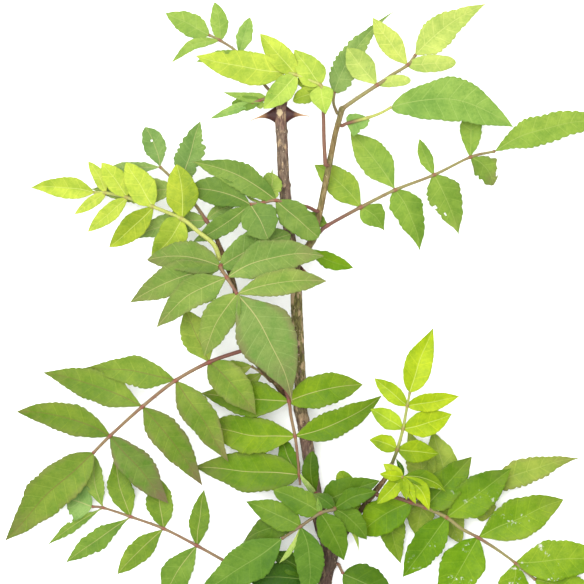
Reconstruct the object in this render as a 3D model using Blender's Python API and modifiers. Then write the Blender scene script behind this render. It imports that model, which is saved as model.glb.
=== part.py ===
"""A cut sprig of Sichuan pepper that lies on the ground.

A woody stem carries three side shoots, three thorns and about twenty pinnate leaves. Positions are
in layout millimetres: x runs right, y runs up the sprig and z is the height above the ground.
"""
import math
import random
from collections import namedtuple

import bmesh
import bpy
from mathutils import Vector

MM = 0.001
SPRIG_NAME = "sichuan_peppercorn_sprig"
SPRIG_CENTRE = (8.9, -8.2)
BLADE_THICKNESS = 0.70
BLADE_ROOT_HALF_WIDTH = 0.55
EDGE_STATIONS = (0.11, 0.24, 0.38, 0.52, 0.66, 0.79, 0.91)
SHORT_EDGE_STATIONS = (0.14, 0.32, 0.52, 0.72, 0.89)
SHORT_LEAFLET = 33.0
MIDRIB_STATIONS = (0.22, 0.48, 0.74)
WAVE_DEPTH = 0.07
WELD_DISTANCE = 0.00001
UNION_WELD_DISTANCE = 0.0000002
STEM_BEVEL_RESOLUTION = 3
SHOOT_BEVEL_RESOLUTION = 2
RACHIS_BEVEL_RESOLUTION = 1

Finish = namedtuple("Finish", "colour roughness")
YOUNG = Finish((0.50, 0.66, 0.05), 0.50)
BRIGHT = Finish((0.22, 0.42, 0.03), 0.45)
GREEN = Finish((0.20, 0.36, 0.06), 0.45)
DARK = Finish((0.11, 0.24, 0.06), 0.42)
GREY_GREEN = Finish((0.22, 0.36, 0.13), 0.50)
OLIVE = Finish((0.22, 0.27, 0.07), 0.50)
BARK = Finish((0.16, 0.11, 0.07), 0.80)
GREEN_BARK = Finish((0.17, 0.14, 0.05), 0.65)

Leaflet = namedtuple("Leaflet", "joint tip width bow arch fold belly taper root")
Leaf = namedtuple("Leaf", "name finish rachis thick leaflets")


def blade(joint, x, y, z, width, bow=0.0, arch=0.05, fold=0.16, belly=0.40, taper=1.15,
          root=0.8):
    """Describe a leaflet by the rachis point it grows from, its tip and its full width.

    bow bends the midrib sideways, arch lifts its middle and fold lifts the edges, each as a share
    of the length or of the width. belly is the share of the length at which it is widest, taper
    tells how drawn out its tip is and root how narrow its root is.
    """
    return Leaflet(joint, (x, y, z), width, bow, arch, fold, belly, taper, root)


LEAVES = [
    Leaf("leaf_top_left", GREEN,
         [(-8.4, 113.0, 32.6), (-13.0, 120.0, 31.8), (-17.2, 125.0, 31.0), (-31.7, 142.8, 28.0),
          (-43.1, 151.1, 25.0), (-49.9, 154.5, 23.0)], (1.1, 0.7),
         [blade(5, -76.5, 168.5, 14.0, 14.5, -0.01, belly=0.36, taper=1.0, root=0.65),
          blade(4, -46.6, 174.9, 18.0, 10.8, -0.04, belly=0.44, taper=1.0, root=0.55),
          blade(4, -72.7, 138.0, 16.0, 6.6, -0.12, 0.12, taper=1.0, root=0.88),
          blade(3, -25.2, 165.4, 22.0, 9.6, belly=0.48, taper=0.92, root=0.95),
          blade(3, -57.9, 138.8, 20.0, 8.3, root=0.55)]),
    Leaf("leaf_top_small", OLIVE,
         [(-10.9, 113.4, 36.4), (-14.4, 115.6, 37.0), (-19.0, 114.5, 37.0), (-24.0, 113.2, 36.0)],
         (0.9, 0.7),
         [blade(1, -41.5, 119.8, 33.0, 6.4, 0.04, belly=0.25, root=0.65),
          blade(3, -49.3, 103.8, 30.0, 5.9, belly=0.30, taper=1.0, root=0.7),
          blade(2, -36.2, 112.9, 33.0, 9.1, 0.05, belly=0.49, taper=0.7, root=0.55),
          blade(2, -19.0, 109.6, 34.5, 5.2, taper=0.65)]),
    Leaf("leaf_young_front", YOUNG,
         [(20.2, 76.0, 38.6), (19.4, 90.0, 41.0), (19.0, 106.0, 43.0), (18.0, 119.0, 44.0),
          (16.9, 123.2, 44.0), (10.0, 126.3, 43.5), (2.5, 129.4, 43.0), (-4.0, 131.0, 42.0)],
         (1.1, 0.7),
         [blade(7, -57.8, 141.4, 33.0, 20.0, 0.03, belly=0.36, taper=1.07, root=0.62),
          blade(6, -19.0, 154.2, 38.0, 14.5, belly=0.38, taper=0.92, root=0.65),
          blade(6, -17.1, 108.8, 43.0, 15.2, 0.08, belly=0.28, taper=0.85, root=0.55),
          blade(4, 1.3, 144.8, 40.0, 16.8, belly=0.26, taper=1.0, root=0.55),
          blade(4, 20.1, 105.5, 52.0, 14.2, -0.02, 0.05, 0.25, belly=0.32, root=0.95),
          blade(3, 0.5, 114.0, 39.0, 10.0, -0.06, belly=0.50, taper=0.7),
          blade(3, 0.0, 126.9, 38.5, 8.2, -0.06)]),
    Leaf("leaf_single_long", GREY_GREEN,
         [(27.0, 107.0, 33.5), (24.9, 113.0, 32.0), (25.3, 119.6, 30.0)], (1.0, 0.8),
         [blade(2, 67.7, 173.3, 12.0, 17.5, 0.1, belly=0.23, taper=2.2, root=0.73)]),
    Leaf("leaf_top_right", YOUNG,
         [(31.0, 110.2, 37.0), (40.2, 116.5, 38.0), (50.9, 123.6, 38.0), (60.2, 130.0, 37.0),
          (69.1, 135.7, 35.0), (74.0, 142.0, 33.0)], (1.1, 0.7),
         [blade(5, 118.0, 174.4, 13.0, 19.1, 0.03, belly=0.27, taper=1.38, root=0.88),
          blade(4, 48.2, 164.7, 30.0, 13.8, 0.02, belly=0.44, taper=1.07, root=1.03),
          blade(4, 98.4, 137.7, 29.0, 10.7, belly=0.41, taper=0.5, root=0.55),
          blade(2, 32.9, 146.3, 34.0, 16.0, 0.02, belly=0.52, taper=1.0, root=1.1),
          blade(2, 71.1, 126.6, 37.0, 7.3, 0.04, belly=0.54, taper=0.5, root=0.65)]),
    Leaf("leaf_upper_right", GREEN,
         [(30.0, 99.4, 34.6), (33.4, 101.0, 34.2), (45.4, 104.3, 33.5), (53.2, 107.2, 32.5),
          (60.0, 110.0, 31.5)], (1.1, 0.8),
         [blade(4, 133.6, 98.9, 16.5, 26.8, 0.14, 0.04, belly=0.48, root=0.65),
          blade(2, 36.8, 93.0, 31.0, 12.0, -0.2, belly=0.45, taper=1.0, root=0.8)]),
    Leaf("leaf_right_long", GREEN,
         [(16.6, 35.8, 30.5), (21.3, 39.6, 30.0), (41.4, 50.7, 28.0), (62.0, 61.1, 25.0),
          (85.5, 70.3, 21.0), (107.5, 81.1, 16.0), (122.7, 85.5, 13.0)], (1.2, 0.8),
         [blade(6, 190.0, 103.0, 0.4, 18.5, 0.09, 0.03, belly=0.44, taper=0.85, root=0.65),
          blade(5, 108.7, 113.8, 13.5, 13.4, belly=0.52, taper=1.0, root=0.95),
          blade(5, 121.9, 64.6, 11.0, 15.2, 0.14, belly=0.47, taper=0.7, root=1.1),
          blade(4, 76.9, 92.5, 17.5, 8.3, 0.04, belly=0.48, taper=1.0, root=0.88),
          blade(4, 101.0, 34.6, 9.0, 20.6, 0.03, belly=0.32, taper=1.37, root=0.65),
          blade(3, 35.3, 95.9, 17.0, 20.6, -0.01, belly=0.46, taper=1.0, root=1.4),
          blade(3, 77.2, 24.6, 14.0, 18.6, 0.06, belly=0.28, taper=1.3, root=0.55),
          blade(2, 13.2, 76.6, 24.0, 17.8, -0.06, 0.0, belly=0.44, taper=1.07, root=0.95),
          blade(2, 55.8, 36.3, 20.0, 15.5, 0.10, belly=0.36, taper=1.75),
          blade(1, 10.2, 48.0, 25.5, 8.3, 0.06, -0.04, 0.10, belly=0.52, taper=1.0)]),
    Leaf("leaf_left_upper", YOUNG,
         [(-44.2, 21.5, 48.0), (-46.6, 28.3, 49.5), (-55.8, 35.9, 49.0), (-65.5, 43.5, 46.0),
          (-82.8, 50.8, 38.0), (-98.7, 56.6, 29.0), (-112.2, 59.7, 20.0), (-119.4, 60.1, 15.5)],
         (1.1, 0.7),
         [blade(7, -158.9, 63.4, 0.4, 13.3, -0.04, 0.03, belly=0.36),
          blade(6, -123.0, 78.8, 15.0, 8.0, -0.06, taper=0.85),
          blade(6, -131.6, 46.8, 12.0, 7.0, belly=0.38, taper=1.0, root=0.55),
          blade(5, -114.7, 78.0, 22.0, 13.4, -0.02, belly=0.44, taper=1.0),
          blade(5, -123.2, 36.2, 17.0, 10.5, belly=0.42, taper=1.0, root=0.55),
          blade(4, -99.4, 77.6, 31.0, 17.4, belly=0.36, taper=0.85, root=0.65),
          blade(4, -109.8, 26.8, 27.0, 14.8, 0.02, belly=0.44, taper=1.0, root=0.62),
          blade(3, -68.7, 76.1, 43.0, 19.3, -0.05, taper=0.85, root=0.88),
          blade(3, -83.9, 20.8, 35.0, 18.1, 0.06, belly=0.28, taper=0.85, root=0.55)]),
    Leaf("leaf_left_dark", DARK,
         [(-47.4, 37.2, 41.2), (-51.2, 42.7, 38.5), (-58.3, 52.7, 35.0), (-67.0, 62.0, 31.0),
          (-73.1, 69.3, 28.0), (-79.2, 75.1, 25.5)], (1.2, 0.8),
         [blade(5, -88.7, 99.6, 16.0, 14.0, -0.06, belly=0.52, taper=0.85, root=1.1),
          blade(5, -109.0, 75.8, 15.0, 7.6, 0.02, belly=0.50, taper=0.85, root=1.1),
          blade(3, -55.1, 103.2, 20.0, 16.6, -0.03, belly=0.48, taper=1.22, root=0.95),
          blade(3, -121.6, 62.4, 8.0, 16.2, 0.02, belly=0.36, root=1.03),
          blade(1, -100.2, 29.8, 16.0, 14.8, -0.07, belly=0.32, taper=1.45, root=0.55),
          blade(1, -33.3, 51.6, 31.0, 9.7, 0.10)]),
    Leaf("leaf_centre_upper", GREY_GREEN,
         [(14.0, 48.5, 36.0), (9.2, 50.8, 39.0), (0.0, 52.5, 41.0), (-9.6, 54.6, 42.5),
          (-17.0, 53.3, 43.0), (-25.0, 52.3, 43.0)], (1.1, 0.8),
         [blade(3, -59.4, 77.8, 36.0, 17.2, -0.08, 0.08, belly=0.28, root=0.55),
          blade(3, 15.9, 32.5, 41.0, 17.7, belly=0.44, taper=0.5, root=0.78),
          blade(5, -65.2, 61.4, 37.5, 19.6, -0.05, belly=0.48),
          blade(5, -59.1, 29.8, 46.0, 12.4, 0.04, 0.03, belly=0.48, root=0.95),
          blade(5, -14.3, 31.3, 46.5, 22.4, 0.04, taper=0.5, root=0.55),
          blade(4, -11.8, 71.2, 37.0, 12.5, -0.10, belly=0.58, taper=0.5, root=0.55),
          blade(4, -11.9, 75.1, 34.5, 2.6, -0.06),
          blade(4, -30.0, 61.0, 36.0, 3.0, 0.10, 0.0)]),
    Leaf("leaf_centre_rosette", GREEN,
         [(-40.3, 19.0, 47.4), (-42.4, 15.0, 52.5), (-38.5, 8.5, 58.5), (-32.4, -1.2, 62.0)],
         (1.3, 0.9),
         [blade(1, -86.4, 19.1, 43.0, 18.9, -0.09, belly=0.36, taper=0.85, root=0.55),
          blade(1, -97.2, -6.6, 39.0, 20.2, -0.05, belly=0.42, taper=1.22, root=0.95),
          blade(2, -80.7, -21.3, 45.0, 18.8, -0.08, belly=0.32, taper=1.07, root=1.1),
          blade(1, -0.8, 34.6, 34.0, 20.3, 0.04, -0.02, belly=0.48, taper=0.7, root=0.55),
          blade(2, 18.8, 21.4, 50.0, 22.4, 0.10, taper=1.0, root=1.1),
          blade(3, 20.5, 6.4, 55.0, 15.7, 0.06, belly=0.50, taper=1.0, root=0.88),
          blade(3, -52.2, -38.3, 45.0, 19.9, -0.06, belly=0.36, taper=1.0, root=0.55),
          blade(3, 0.1, -66.1, 36.0, 35.8, 0.05, belly=0.42, taper=1.52, root=1.4)]),
    Leaf("leaf_left_lower", GREEN,
         [(-26.8, -34.3, 32.0), (-30.5, -35.3, 33.0), (-49.5, -42.2, 33.0), (-69.6, -53.2, 31.0),
          (-89.7, -69.0, 27.0), (-109.3, -86.7, 22.0), (-119.7, -97.2, 19.0)], (1.3, 0.9),
         [blade(6, -174.2, -151.2, 3.0, 25.9, 0.02, belly=0.36, taper=1.17, root=0.65),
          blade(5, -166.7, -72.4, 10.0, 18.3, -0.06, taper=1.0),
          blade(5, -74.7, -127.8, 14.0, 19.6, belly=0.42),
          blade(4, -150.8, -48.6, 14.0, 19.6, -0.02, root=1.1),
          blade(4, -53.9, -117.1, 16.0, 19.6, 0.02, belly=0.32, root=1.03),
          blade(3, -127.6, -46.3, 20.0, 20.7, -0.05, belly=0.36, taper=1.45, root=1.25),
          blade(3, -38.2, -102.3, 22.0, 19.3, 0.02, belly=0.36, taper=1.22, root=0.95),
          blade(2, -64.2, -10.6, 33.0, 19.1, belly=0.48, taper=1.0, root=1.03),
          blade(2, -21.5, -73.6, 31.0, 21.4, 0.04, belly=0.36, root=0.65)]),
    Leaf("leaf_left_small", GREEN,
         [(-12.9, -53.9, 23.0), (-18.0, -48.8, 23.5), (-24.5, -44.6, 24.0)], (0.8, 0.7),
         [blade(2, -50.0, -50.4, 20.0, 10.7, -0.02),
          blade(1, -36.0, -59.2, 20.0, 8.6, 0.02, belly=0.48, root=0.95)]),
    Leaf("leaf_centre_lower", BRIGHT,
         [(-4.2, -57.4, 26.0), (-1.8, -65.5, 28.5), (-0.6, -74.5, 28.5), (1.8, -86.5, 27.0),
          (3.4, -99.0, 25.0), (4.3, -109.8, 23.0), (4.9, -116.0, 22.0)], (1.1, 0.7),
         [blade(1, -55.4, -61.1, 13.0, 21.4, 0.01, taper=1.22, root=0.88),
          blade(1, 42.6, -55.6, 26.0, 20.3, 0.04, belly=0.46, taper=1.0, root=0.55),
          blade(3, -49.2, -81.0, 13.0, 22.7, 0.04, belly=0.52, taper=0.7),
          blade(3, 54.3, -62.3, 18.0, 17.1, -0.08, belly=0.36, taper=1.07, root=0.95),
          blade(5, -59.4, -105.7, 9.0, 24.7, 0.0, 0.03, root=0.55),
          blade(5, -5.8, -88.5, 17.0, 11.0, 0.06, 0.0, belly=0.48, taper=0.7, root=0.65)]),
    Leaf("leaf_bottom_front", DARK,
         [(14.3, -121.5, 17.8), (19.0, -126.0, 22.5), (25.6, -130.0, 28.0), (17.0, -132.4, 31.0),
          (5.1, -140.5, 30.0), (-6.0, -148.0, 27.0)], (1.2, 0.8),
         [blade(5, -60.0, -184.0, 9.0, 24.0, 0.02, belly=0.32, taper=1.3, root=1.0),
          blade(4, -27.8, -125.9, 23.0, 18.6, -0.02, belly=0.36, root=0.55),
          blade(4, 8.5, -183.0, 14.0, 20.6, 0.09, taper=0.77, root=1.03),
          blade(3, -11.2, -118.0, 29.0, 18.9, -0.05, belly=0.32, taper=0.7, root=0.62),
          blade(3, 31.4, -161.7, 21.0, 18.6, 0.04, root=0.55),
          blade(2, 50.6, -119.6, 31.0, 11.7, 0.08, belly=0.44, taper=1.0),
          blade(2, 45.0, -149.0, 21.0, 15.1, 0.08, taper=1.0, root=0.55),
          blade(1, 52.7, -113.3, 26.0, 19.6, 0.02, belly=0.22, taper=1.0, root=0.55),
          blade(0, 12.3, -95.6, 23.0, 10.3, 0.08, belly=0.56, taper=0.7, root=0.95),
          blade(4, -30.0, -151.2, 20.0, 15.9, -0.08, belly=0.44, taper=1.45, root=0.88),
          blade(0, 4.7, -108.9, 27.5, 5.0, 0.04, belly=0.22, taper=0.85),
          blade(3, 15.2, -123.0, 33.5, 4.8, belly=0.30),
          blade(2, 40.2, -157.0, 17.5, 3.0, 0.11, belly=0.56, taper=1.45),
          blade(4, -7.8, -163.2, 21.0, 4.0, 0.07, belly=0.65)]),
    Leaf("leaf_lower_right_young", YOUNG,
         [(60.6, -101.5, 27.6), (63.1, -94.5, 29.0), (66.5, -82.0, 31.0), (69.0, -68.1, 32.0),
          (70.6, -60.0, 32.0)], (1.1, 0.7),
         [blade(4, 85.3, -21.1, 22.0, 17.0, 0.02, belly=0.36, taper=1.3, root=0.55),
          blade(3, 49.3, -51.6, 30.0, 10.5, belly=0.44, taper=1.0, root=0.65),
          blade(3, 100.8, -62.5, 26.0, 11.2, -0.01, belly=0.42, root=0.55),
          blade(2, 47.1, -70.2, 29.0, 11.7, -0.02, belly=0.44, taper=1.0),
          blade(2, 96.2, -73.2, 25.0, 15.9, -0.03, belly=0.46, root=0.72),
          blade(1, 46.3, -88.7, 27.0, 10.7, -0.08, belly=0.36, taper=1.0, root=0.88),
          blade(1, 88.5, -97.2, 25.0, 14.0, taper=1.22)]),
    Leaf("shoot_tip_young", YOUNG,
         [(57.8, -111.6, 26.6), (62.0, -111.0, 30.0), (66.6, -110.7, 32.5)], (0.9, 0.9),
         [blade(2, 54.5, -102.6, 36.0, 7.5, 0.03, belly=0.4, taper=1.0),
          blade(2, 52.3, -108.7, 37.0, 6.5, belly=0.42, taper=1.0),
          blade(2, 51.0, -126.7, 34.0, 10.0, 0.0, belly=0.42, taper=0.9, root=0.8),
          blade(2, 74.2, -126.9, 34.0, 6.5),
          blade(2, 82.2, -131.0, 31.0, 10.5, 0.13),
          blade(2, 92.1, -119.6, 30.0, 10.0, 0.13),
          blade(2, 58.6, -113.4, 34.0, 4.6),
          blade(2, 68.5, -124.3, 34.5, 5.8, 0.0, belly=0.42, taper=1.0),
          blade(2, 62.3, -99.8, 33.5, 3.4, -0.05, belly=0.4)]),
    Leaf("leaf_lower_right_large", GREEN,
         [(52.0, -122.4, 20.4), (55.0, -122.5, 21.0), (62.6, -123.6, 22.0), (71.5, -126.5, 22.0),
          (80.0, -129.5, 22.0), (93.0, -135.7, 21.0), (101.9, -142.4, 20.0),
          (112.2, -148.0, 18.0), (124.3, -155.8, 15.0), (134.9, -163.7, 12.0),
          (147.2, -174.1, 9.0)], (1.3, 0.8),
         [blade(3, 41.4, -145.8, 14.0, 22.0, -0.06, belly=0.52, taper=0.85, root=0.55),
          blade(4, 108.4, -99.2, 19.0, 21.7, belly=0.28, taper=1.0, root=0.55),
          blade(5, 132.2, -106.3, 18.0, 24.0, root=1.1),
          blade(5, 66.8, -172.6, 11.0, 19.4, belly=0.44, root=0.55),
          blade(7, 164.2, -125.4, 12.0, 24.7, 0.02, belly=0.44, taper=1.0, root=1.1),
          blade(7, 90.0, -188.0, 7.0, 26.3, taper=1.05),
          blade(9, 192.0, -160.0, 6.0, 24.8, belly=0.38, taper=1.0, root=0.95),
          blade(9, 129.0, -190.0, 4.0, 18.6, 0.08, belly=0.48, taper=1.3, root=1.1),
          blade(10, 188.0, -184.0, 2.5, 18.5, root=0.55)]),
    Leaf("leaf_lower_right_hidden", OLIVE,
         [(45.2, -129.0, 14.6), (60.0, -127.0, 13.0), (80.0, -124.0, 11.0), (96.0, -121.0, 10.0),
          (112.0, -119.5, 10.0), (118.0, -119.0, 10.0)], (1.1, 0.8),
         [blade(5, 175.4, -100.2, 5.0, 16.8, 0.09, belly=0.34, taper=1.52, root=0.95),
          blade(4, 115.6, -139.0, 7.0, 15.5, 0.10, belly=0.44, taper=0.7),
          blade(3, 85.0, -83.9, 9.0, 18.9, belly=0.44),
          blade(3, 102.0, -151.8, 6.0, 14.4, -0.08, belly=0.44, taper=0.7),
          blade(2, 69.6, -82.8, 9.0, 18.3, -0.06, taper=1.45),
          blade(2, 74.4, -146.6, 6.0, 17.3, 0.02, belly=0.44, taper=1.0),
          blade(1, 65.9, -164.8, 4.0, 16.2, -0.05, belly=0.34)]),
    Leaf("leaf_base_left", OLIVE,
         [(15.4, -165.5, 9.0), (10.0, -170.0, 10.0), (8.0, -174.0, 10.0)], (1.0, 0.8),
         [blade(2, -26.2, -173.3, 12.5, 17.9, -0.04, belly=0.44, taper=0.7),
          blade(1, -10.6, -157.8, 12.0, 13.7, taper=0.7)]),
    Leaf("leaf_base_right", DARK,
         [(28.4, -165.2, 5.0), (30.5, -168.0, 5.5), (33.0, -170.5, 6.0)], (1.0, 0.8),
         [blade(2, 66.0, -187.0, 3.0, 23.4, 0.01, belly=0.32, taper=1.45, root=0.55)]),
    Leaf("leaf_bottom_left", GREEN,
         [(15.2, -182.6, 4.5), (-5.0, -179.6, 6.0), (-25.0, -171.6, 6.8), (-42.2, -161.7, 8.0),
          (-57.5, -153.1, 9.0), (-77.6, -142.8, 9.5), (-97.5, -135.6, 9.5), (-114.2, -130.2, 9.0),
          (-121.1, -129.5, 9.0)], (1.2, 0.7),
         [blade(8, -136.7, -124.9, 6.5, 21.1, -0.02, belly=0.46, taper=1.0, root=0.55),
          blade(7, -119.4, -99.1, 7.0, 11.5, 0.08, belly=0.48, taper=0.85, root=1.4),
          blade(7, -148.8, -154.0, 3.0, 7.1, -0.03, belly=0.50, taper=1.45, root=1.6),
          blade(6, -107.5, -98.6, 6.0, 15.5, 0.04, belly=0.44, taper=1.45, root=0.95),
          blade(6, -137.4, -164.2, 3.0, 13.0, -0.01, belly=0.52, taper=1.22, root=1.57),
          blade(5, -81.1, -112.1, 6.0, 16.6, 0.02, belly=0.48, taper=1.0, root=0.88),
          blade(5, -106.1, -171.2, 3.0, 14.0, -0.02, belly=0.46, taper=1.0, root=1.28),
          blade(4, -53.1, -119.2, 5.0, 12.3, 0.02, belly=0.44, taper=1.3),
          blade(4, -77.0, -184.0, 3.0, 18.2, -0.04, belly=0.58, taper=0.85, root=1.1)]),
]

STEM_POINTS = [
    (19.0, -191.0, 3.85, 4.0), (20.5, -172.0, 5.0, 4.1), (23.0, -160.0, 6.6, 4.8),
    (21.0, -150.0, 8.0, 4.4), (17.5, -140.0, 9.3, 4.3), (12.0, -110.0, 13.2, 4.0),
    (7.0, -80.0, 16.8, 3.8), (5.0, -70.0, 18.0, 4.1), (5.2, -60.0, 19.0, 3.5),
    (3.5, -20.0, 23.6, 3.3), (2.4, 2.0, 26.0, 3.5), (1.6, 12.0, 27.0, 4.0), (1.2, 20.0, 27.8, 3.3),
    (-1.6, 35.0, 29.2, 3.1), (-4.0, 58.0, 31.0, 3.1), (-5.1, 70.0, 32.0, 3.2),
    (-5.9, 90.0, 33.4, 3.1), (-6.6, 102.0, 34.0, 3.5), (-6.4, 109.0, 34.3, 3.3),
    (-4.6, 114.0, 34.6, 1.9), (-4.6, 121.0, 35.0, 1.8), (-5.0, 128.0, 35.3, 1.5),
]
KNOB_POINTS = [(-7.4, 109.0, 35.2, 1.9), (-7.3, 111.4, 35.8, 2.3), (-6.9, 113.6, 36.4, 1.6)]
STUB_POINTS = [(-5.0, 126.5, 35.2, 0.9), (-8.0, 127.0, 35.2, 0.8), (-11.3, 122.5, 35.0, 0.6)]

Thorn = namedtuple("Thorn", "foot along base_length thickness tip curve")
THORNS = [
    Thorn((-7.6, 106.0, 34.0), (0.0, 1.0, 0.0), 14.0, 3.6, (-25.0, 102.3, 36.0), 1.2),
    Thorn((-5.2, 106.0, 34.2), (0.0, 1.0, 0.0), 14.0, 3.6, (10.3, 105.0, 36.5), 0.6),
    Thorn((2.6, 15.0, 27.4), (0.0, 1.0, 0.0), 10.0, 3.0, (11.6, 9.8, 28.5), 0.6),
]

RIGHT_BRANCH_POINTS = [
    (6.4, 21.6, 30.6, 2.2), (9.0, 26.0, 30.8, 2.3), (13.0, 33.0, 31.2, 2.2),
    (15.0, 42.0, 32.0, 2.1), (17.0, 50.0, 33.0, 2.0), (20.0, 65.0, 34.6, 1.9),
    (23.0, 80.0, 35.5, 1.8), (26.0, 95.0, 36.0, 1.7), (28.5, 104.0, 36.2, 1.7),
    (29.6, 108.6, 36.4, 1.9),
]
RIGHT_BRANCH_LEAFLETS = [blade(1, 36.9, 14.6, 26.0, 9.8, -0.05, belly=0.52, taper=1.0, root=1.1)]
LEFT_BRANCH_POINTS = [
    (0.6, -64.6, 20.0, 1.8), (-5.0, -61.0, 21.5, 1.7), (-10.0, -54.0, 24.0, 1.7),
    (-17.0, -47.0, 27.0, 1.6), (-22.0, -41.0, 29.5, 1.5), (-24.5, -34.5, 31.5, 1.5),
    (-32.5, -12.0, 38.0, 1.4), (-33.5, -3.0, 40.5, 1.4), (-34.5, 4.0, 42.5, 1.3),
    (-38.0, 14.0, 44.5, 1.3), (-41.0, 22.0, 44.8, 1.5), (-43.5, 28.0, 44.2, 1.3),
    (-46.6, 35.8, 42.0, 1.2),
]
LOWER_RIGHT_BRANCH_POINTS = [
    (28.0, -153.0, 8.8, 1.7), (33.0, -145.0, 11.0, 1.7), (41.0, -132.5, 15.5, 1.6),
    (49.0, -121.5, 20.0, 1.8), (56.0, -112.0, 24.6, 1.5), (60.0, -103.2, 27.2, 1.5),
]
LOWER_RIGHT_BRANCH_LEAFLETS = [
    blade(2, 28.7, -107.8, 18.0, 10.7, 0.0, 0.0, 0.10, belly=0.65, taper=0.5, root=0.62),
]


def place(point):
    """Turn a layout point in millimetres into a world point in metres."""
    return Vector(((point[0] - SPRIG_CENTRE[0]) * MM, (point[1] - SPRIG_CENTRE[1]) * MM,
                   point[2] * MM))


def clear_scene():
    """Remove every object of the scene."""
    for old in list(bpy.data.objects):
        bpy.data.objects.remove(old, do_unlink=True)


def make_collection(name):
    """Add a collection to the scene."""
    collection = bpy.data.collections.new(name)
    bpy.context.scene.collection.children.link(collection)
    return collection


def make_material(name, finish):
    """Make a Principled BSDF material from a finish."""
    material = bpy.data.materials.new(name)
    material.use_nodes = True
    shader = material.node_tree.nodes["Principled BSDF"]
    shader.inputs["Base Color"].default_value = (*finish.colour, 1.0)
    shader.inputs["Roughness"].default_value = finish.roughness
    shader.inputs["Metallic"].default_value = 0.0
    material.diffuse_color = (*finish.colour, 1.0)
    return material


def evaluated_mesh(scene_object, weld_distance):
    """Return a new mesh with the object's modifiers applied and its doubles welded."""
    bpy.context.view_layer.update()
    depsgraph = bpy.context.evaluated_depsgraph_get()
    mesh = bpy.data.meshes.new_from_object(scene_object.evaluated_get(depsgraph))
    shaped = bmesh.new()
    shaped.from_mesh(mesh)
    bmesh.ops.remove_doubles(shaped, verts=shaped.verts, dist=weld_distance)
    bmesh.ops.recalc_face_normals(shaped, faces=shaped.faces)
    shaped.to_mesh(mesh)
    shaped.free()
    return mesh


def make_solid(name, source, collection, weld_distance=WELD_DISTANCE):
    """Replace a curve or a modified object by a plain mesh object."""
    mesh = evaluated_mesh(source, weld_distance)
    solid = bpy.data.objects.new(name, mesh)
    solid.matrix_world = source.matrix_world
    collection.objects.link(solid)
    bpy.data.objects.remove(source, do_unlink=True)
    return solid


def make_tube(name, points, bevel_resolution, collection):
    """Make a closed tube along points given as x, y, z and radius in layout millimetres."""
    curve = bpy.data.curves.new(name + "_path", "CURVE")
    curve.dimensions = "3D"
    curve.bevel_depth = MM
    curve.bevel_resolution = bevel_resolution
    curve.use_fill_caps = True
    spline = curve.splines.new("POLY")
    spline.points.add(len(points) - 1)
    for control, point in zip(spline.points, points):
        control.co = (*place(point), 1.0)
        control.radius = point[3]
    path = bpy.data.objects.new(name + "_path", curve)
    collection.objects.link(path)
    return make_solid(name, path, collection)


def half_width(share, leaflet):
    """Return a blade's half width at a share of its length: round root and drawn out tip."""
    if share < leaflet.belly:
        rise = math.sin(0.5 * math.pi * share / leaflet.belly)
        return 0.5 * leaflet.width * rise ** leaflet.root
    fall = (share - leaflet.belly) / (1.0 - leaflet.belly)
    return 0.5 * leaflet.width * (1.0 - fall) ** leaflet.taper * (1.0 + leaflet.taper * fall)


def make_blade(name, root, leaflet, collection):
    """Make one leaflet as a thin closed blade with waved edges.

    The open sheet is two strips of triangles between the midrib and the edges, so that the waves
    are split alike on both faces, and Solidify gives it its thickness.
    """
    draw = random.Random(name)
    start = Vector(root)
    end = Vector(leaflet.tip)
    span = end - start
    side = Vector((-span.y, span.x, 0.0)).normalized()
    stations = EDGE_STATIONS if span.length > SHORT_LEAFLET else SHORT_EDGE_STATIONS

    def midrib(share):
        hump = 4.0 * share * (1.0 - share)
        return (start + span * share + side * (leaflet.bow * span.length * hump)
                + Vector((0.0, 0.0, leaflet.arch * span.length * hump)))

    sheet = bmesh.new()
    root_points = [sheet.verts.new(place(midrib(0.0) + side * (BLADE_ROOT_HALF_WIDTH * sign)))
                   for sign in (1.0, -1.0)]
    spine = [sheet.verts.new(place(midrib(share))) for share in MIDRIB_STATIONS]
    tip = sheet.verts.new(place(end))
    for sign, root_point in ((1.0, root_points[0]), (-1.0, root_points[1])):
        edge = []
        for index, share in enumerate(stations):
            wave = (WAVE_DEPTH if index % 2 else -WAVE_DEPTH) * draw.uniform(0.7, 1.3)
            reach = half_width(share, leaflet) * (1.0 + wave)
            lift = Vector((0.0, 0.0, leaflet.fold * reach + 0.5 * wave * reach))
            edge.append(sheet.verts.new(place(midrib(share) + side * (sign * reach) + lift)))
        fill_strip(sheet, stations, root_point, edge, spine, tip, sign)
    sheet.faces.new((root_points[0], root_points[1], spine[0]))
    bmesh.ops.recalc_face_normals(sheet, faces=sheet.faces)
    mesh = bpy.data.meshes.new(name + "_sheet")
    sheet.to_mesh(mesh)
    sheet.free()
    source = bpy.data.objects.new(name + "_sheet", mesh)
    collection.objects.link(source)
    solidify = source.modifiers.new("thickness", "SOLIDIFY")
    solidify.thickness = BLADE_THICKNESS * MM
    solidify.offset = 0.0
    return make_solid(name, source, collection)


def fill_strip(sheet, stations, root_point, edge, spine, tip, sign):
    """Fill one half of a blade with triangles between its edge and its midrib."""
    outer = [root_point, *edge, tip]
    outer_shares = [0.0, *stations, 1.0]
    inner = [*spine, tip]
    inner_shares = [*MIDRIB_STATIONS, 1.0]
    faces = []
    left, right = 0, 0
    while left < len(outer) - 2 or right < len(inner) - 2:
        advance_outer = right == len(inner) - 2 or (
            left < len(outer) - 2 and outer_shares[left + 1] <= inner_shares[right + 1])
        if advance_outer:
            faces.append((outer[left], outer[left + 1], inner[right]))
            left += 1
        else:
            faces.append((outer[left], inner[right + 1], inner[right]))
            right += 1
    faces.append((outer[left], tip, inner[right]))
    for corners in faces:
        sheet.faces.new(corners if sign < 0.0 else tuple(reversed(corners)))


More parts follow.
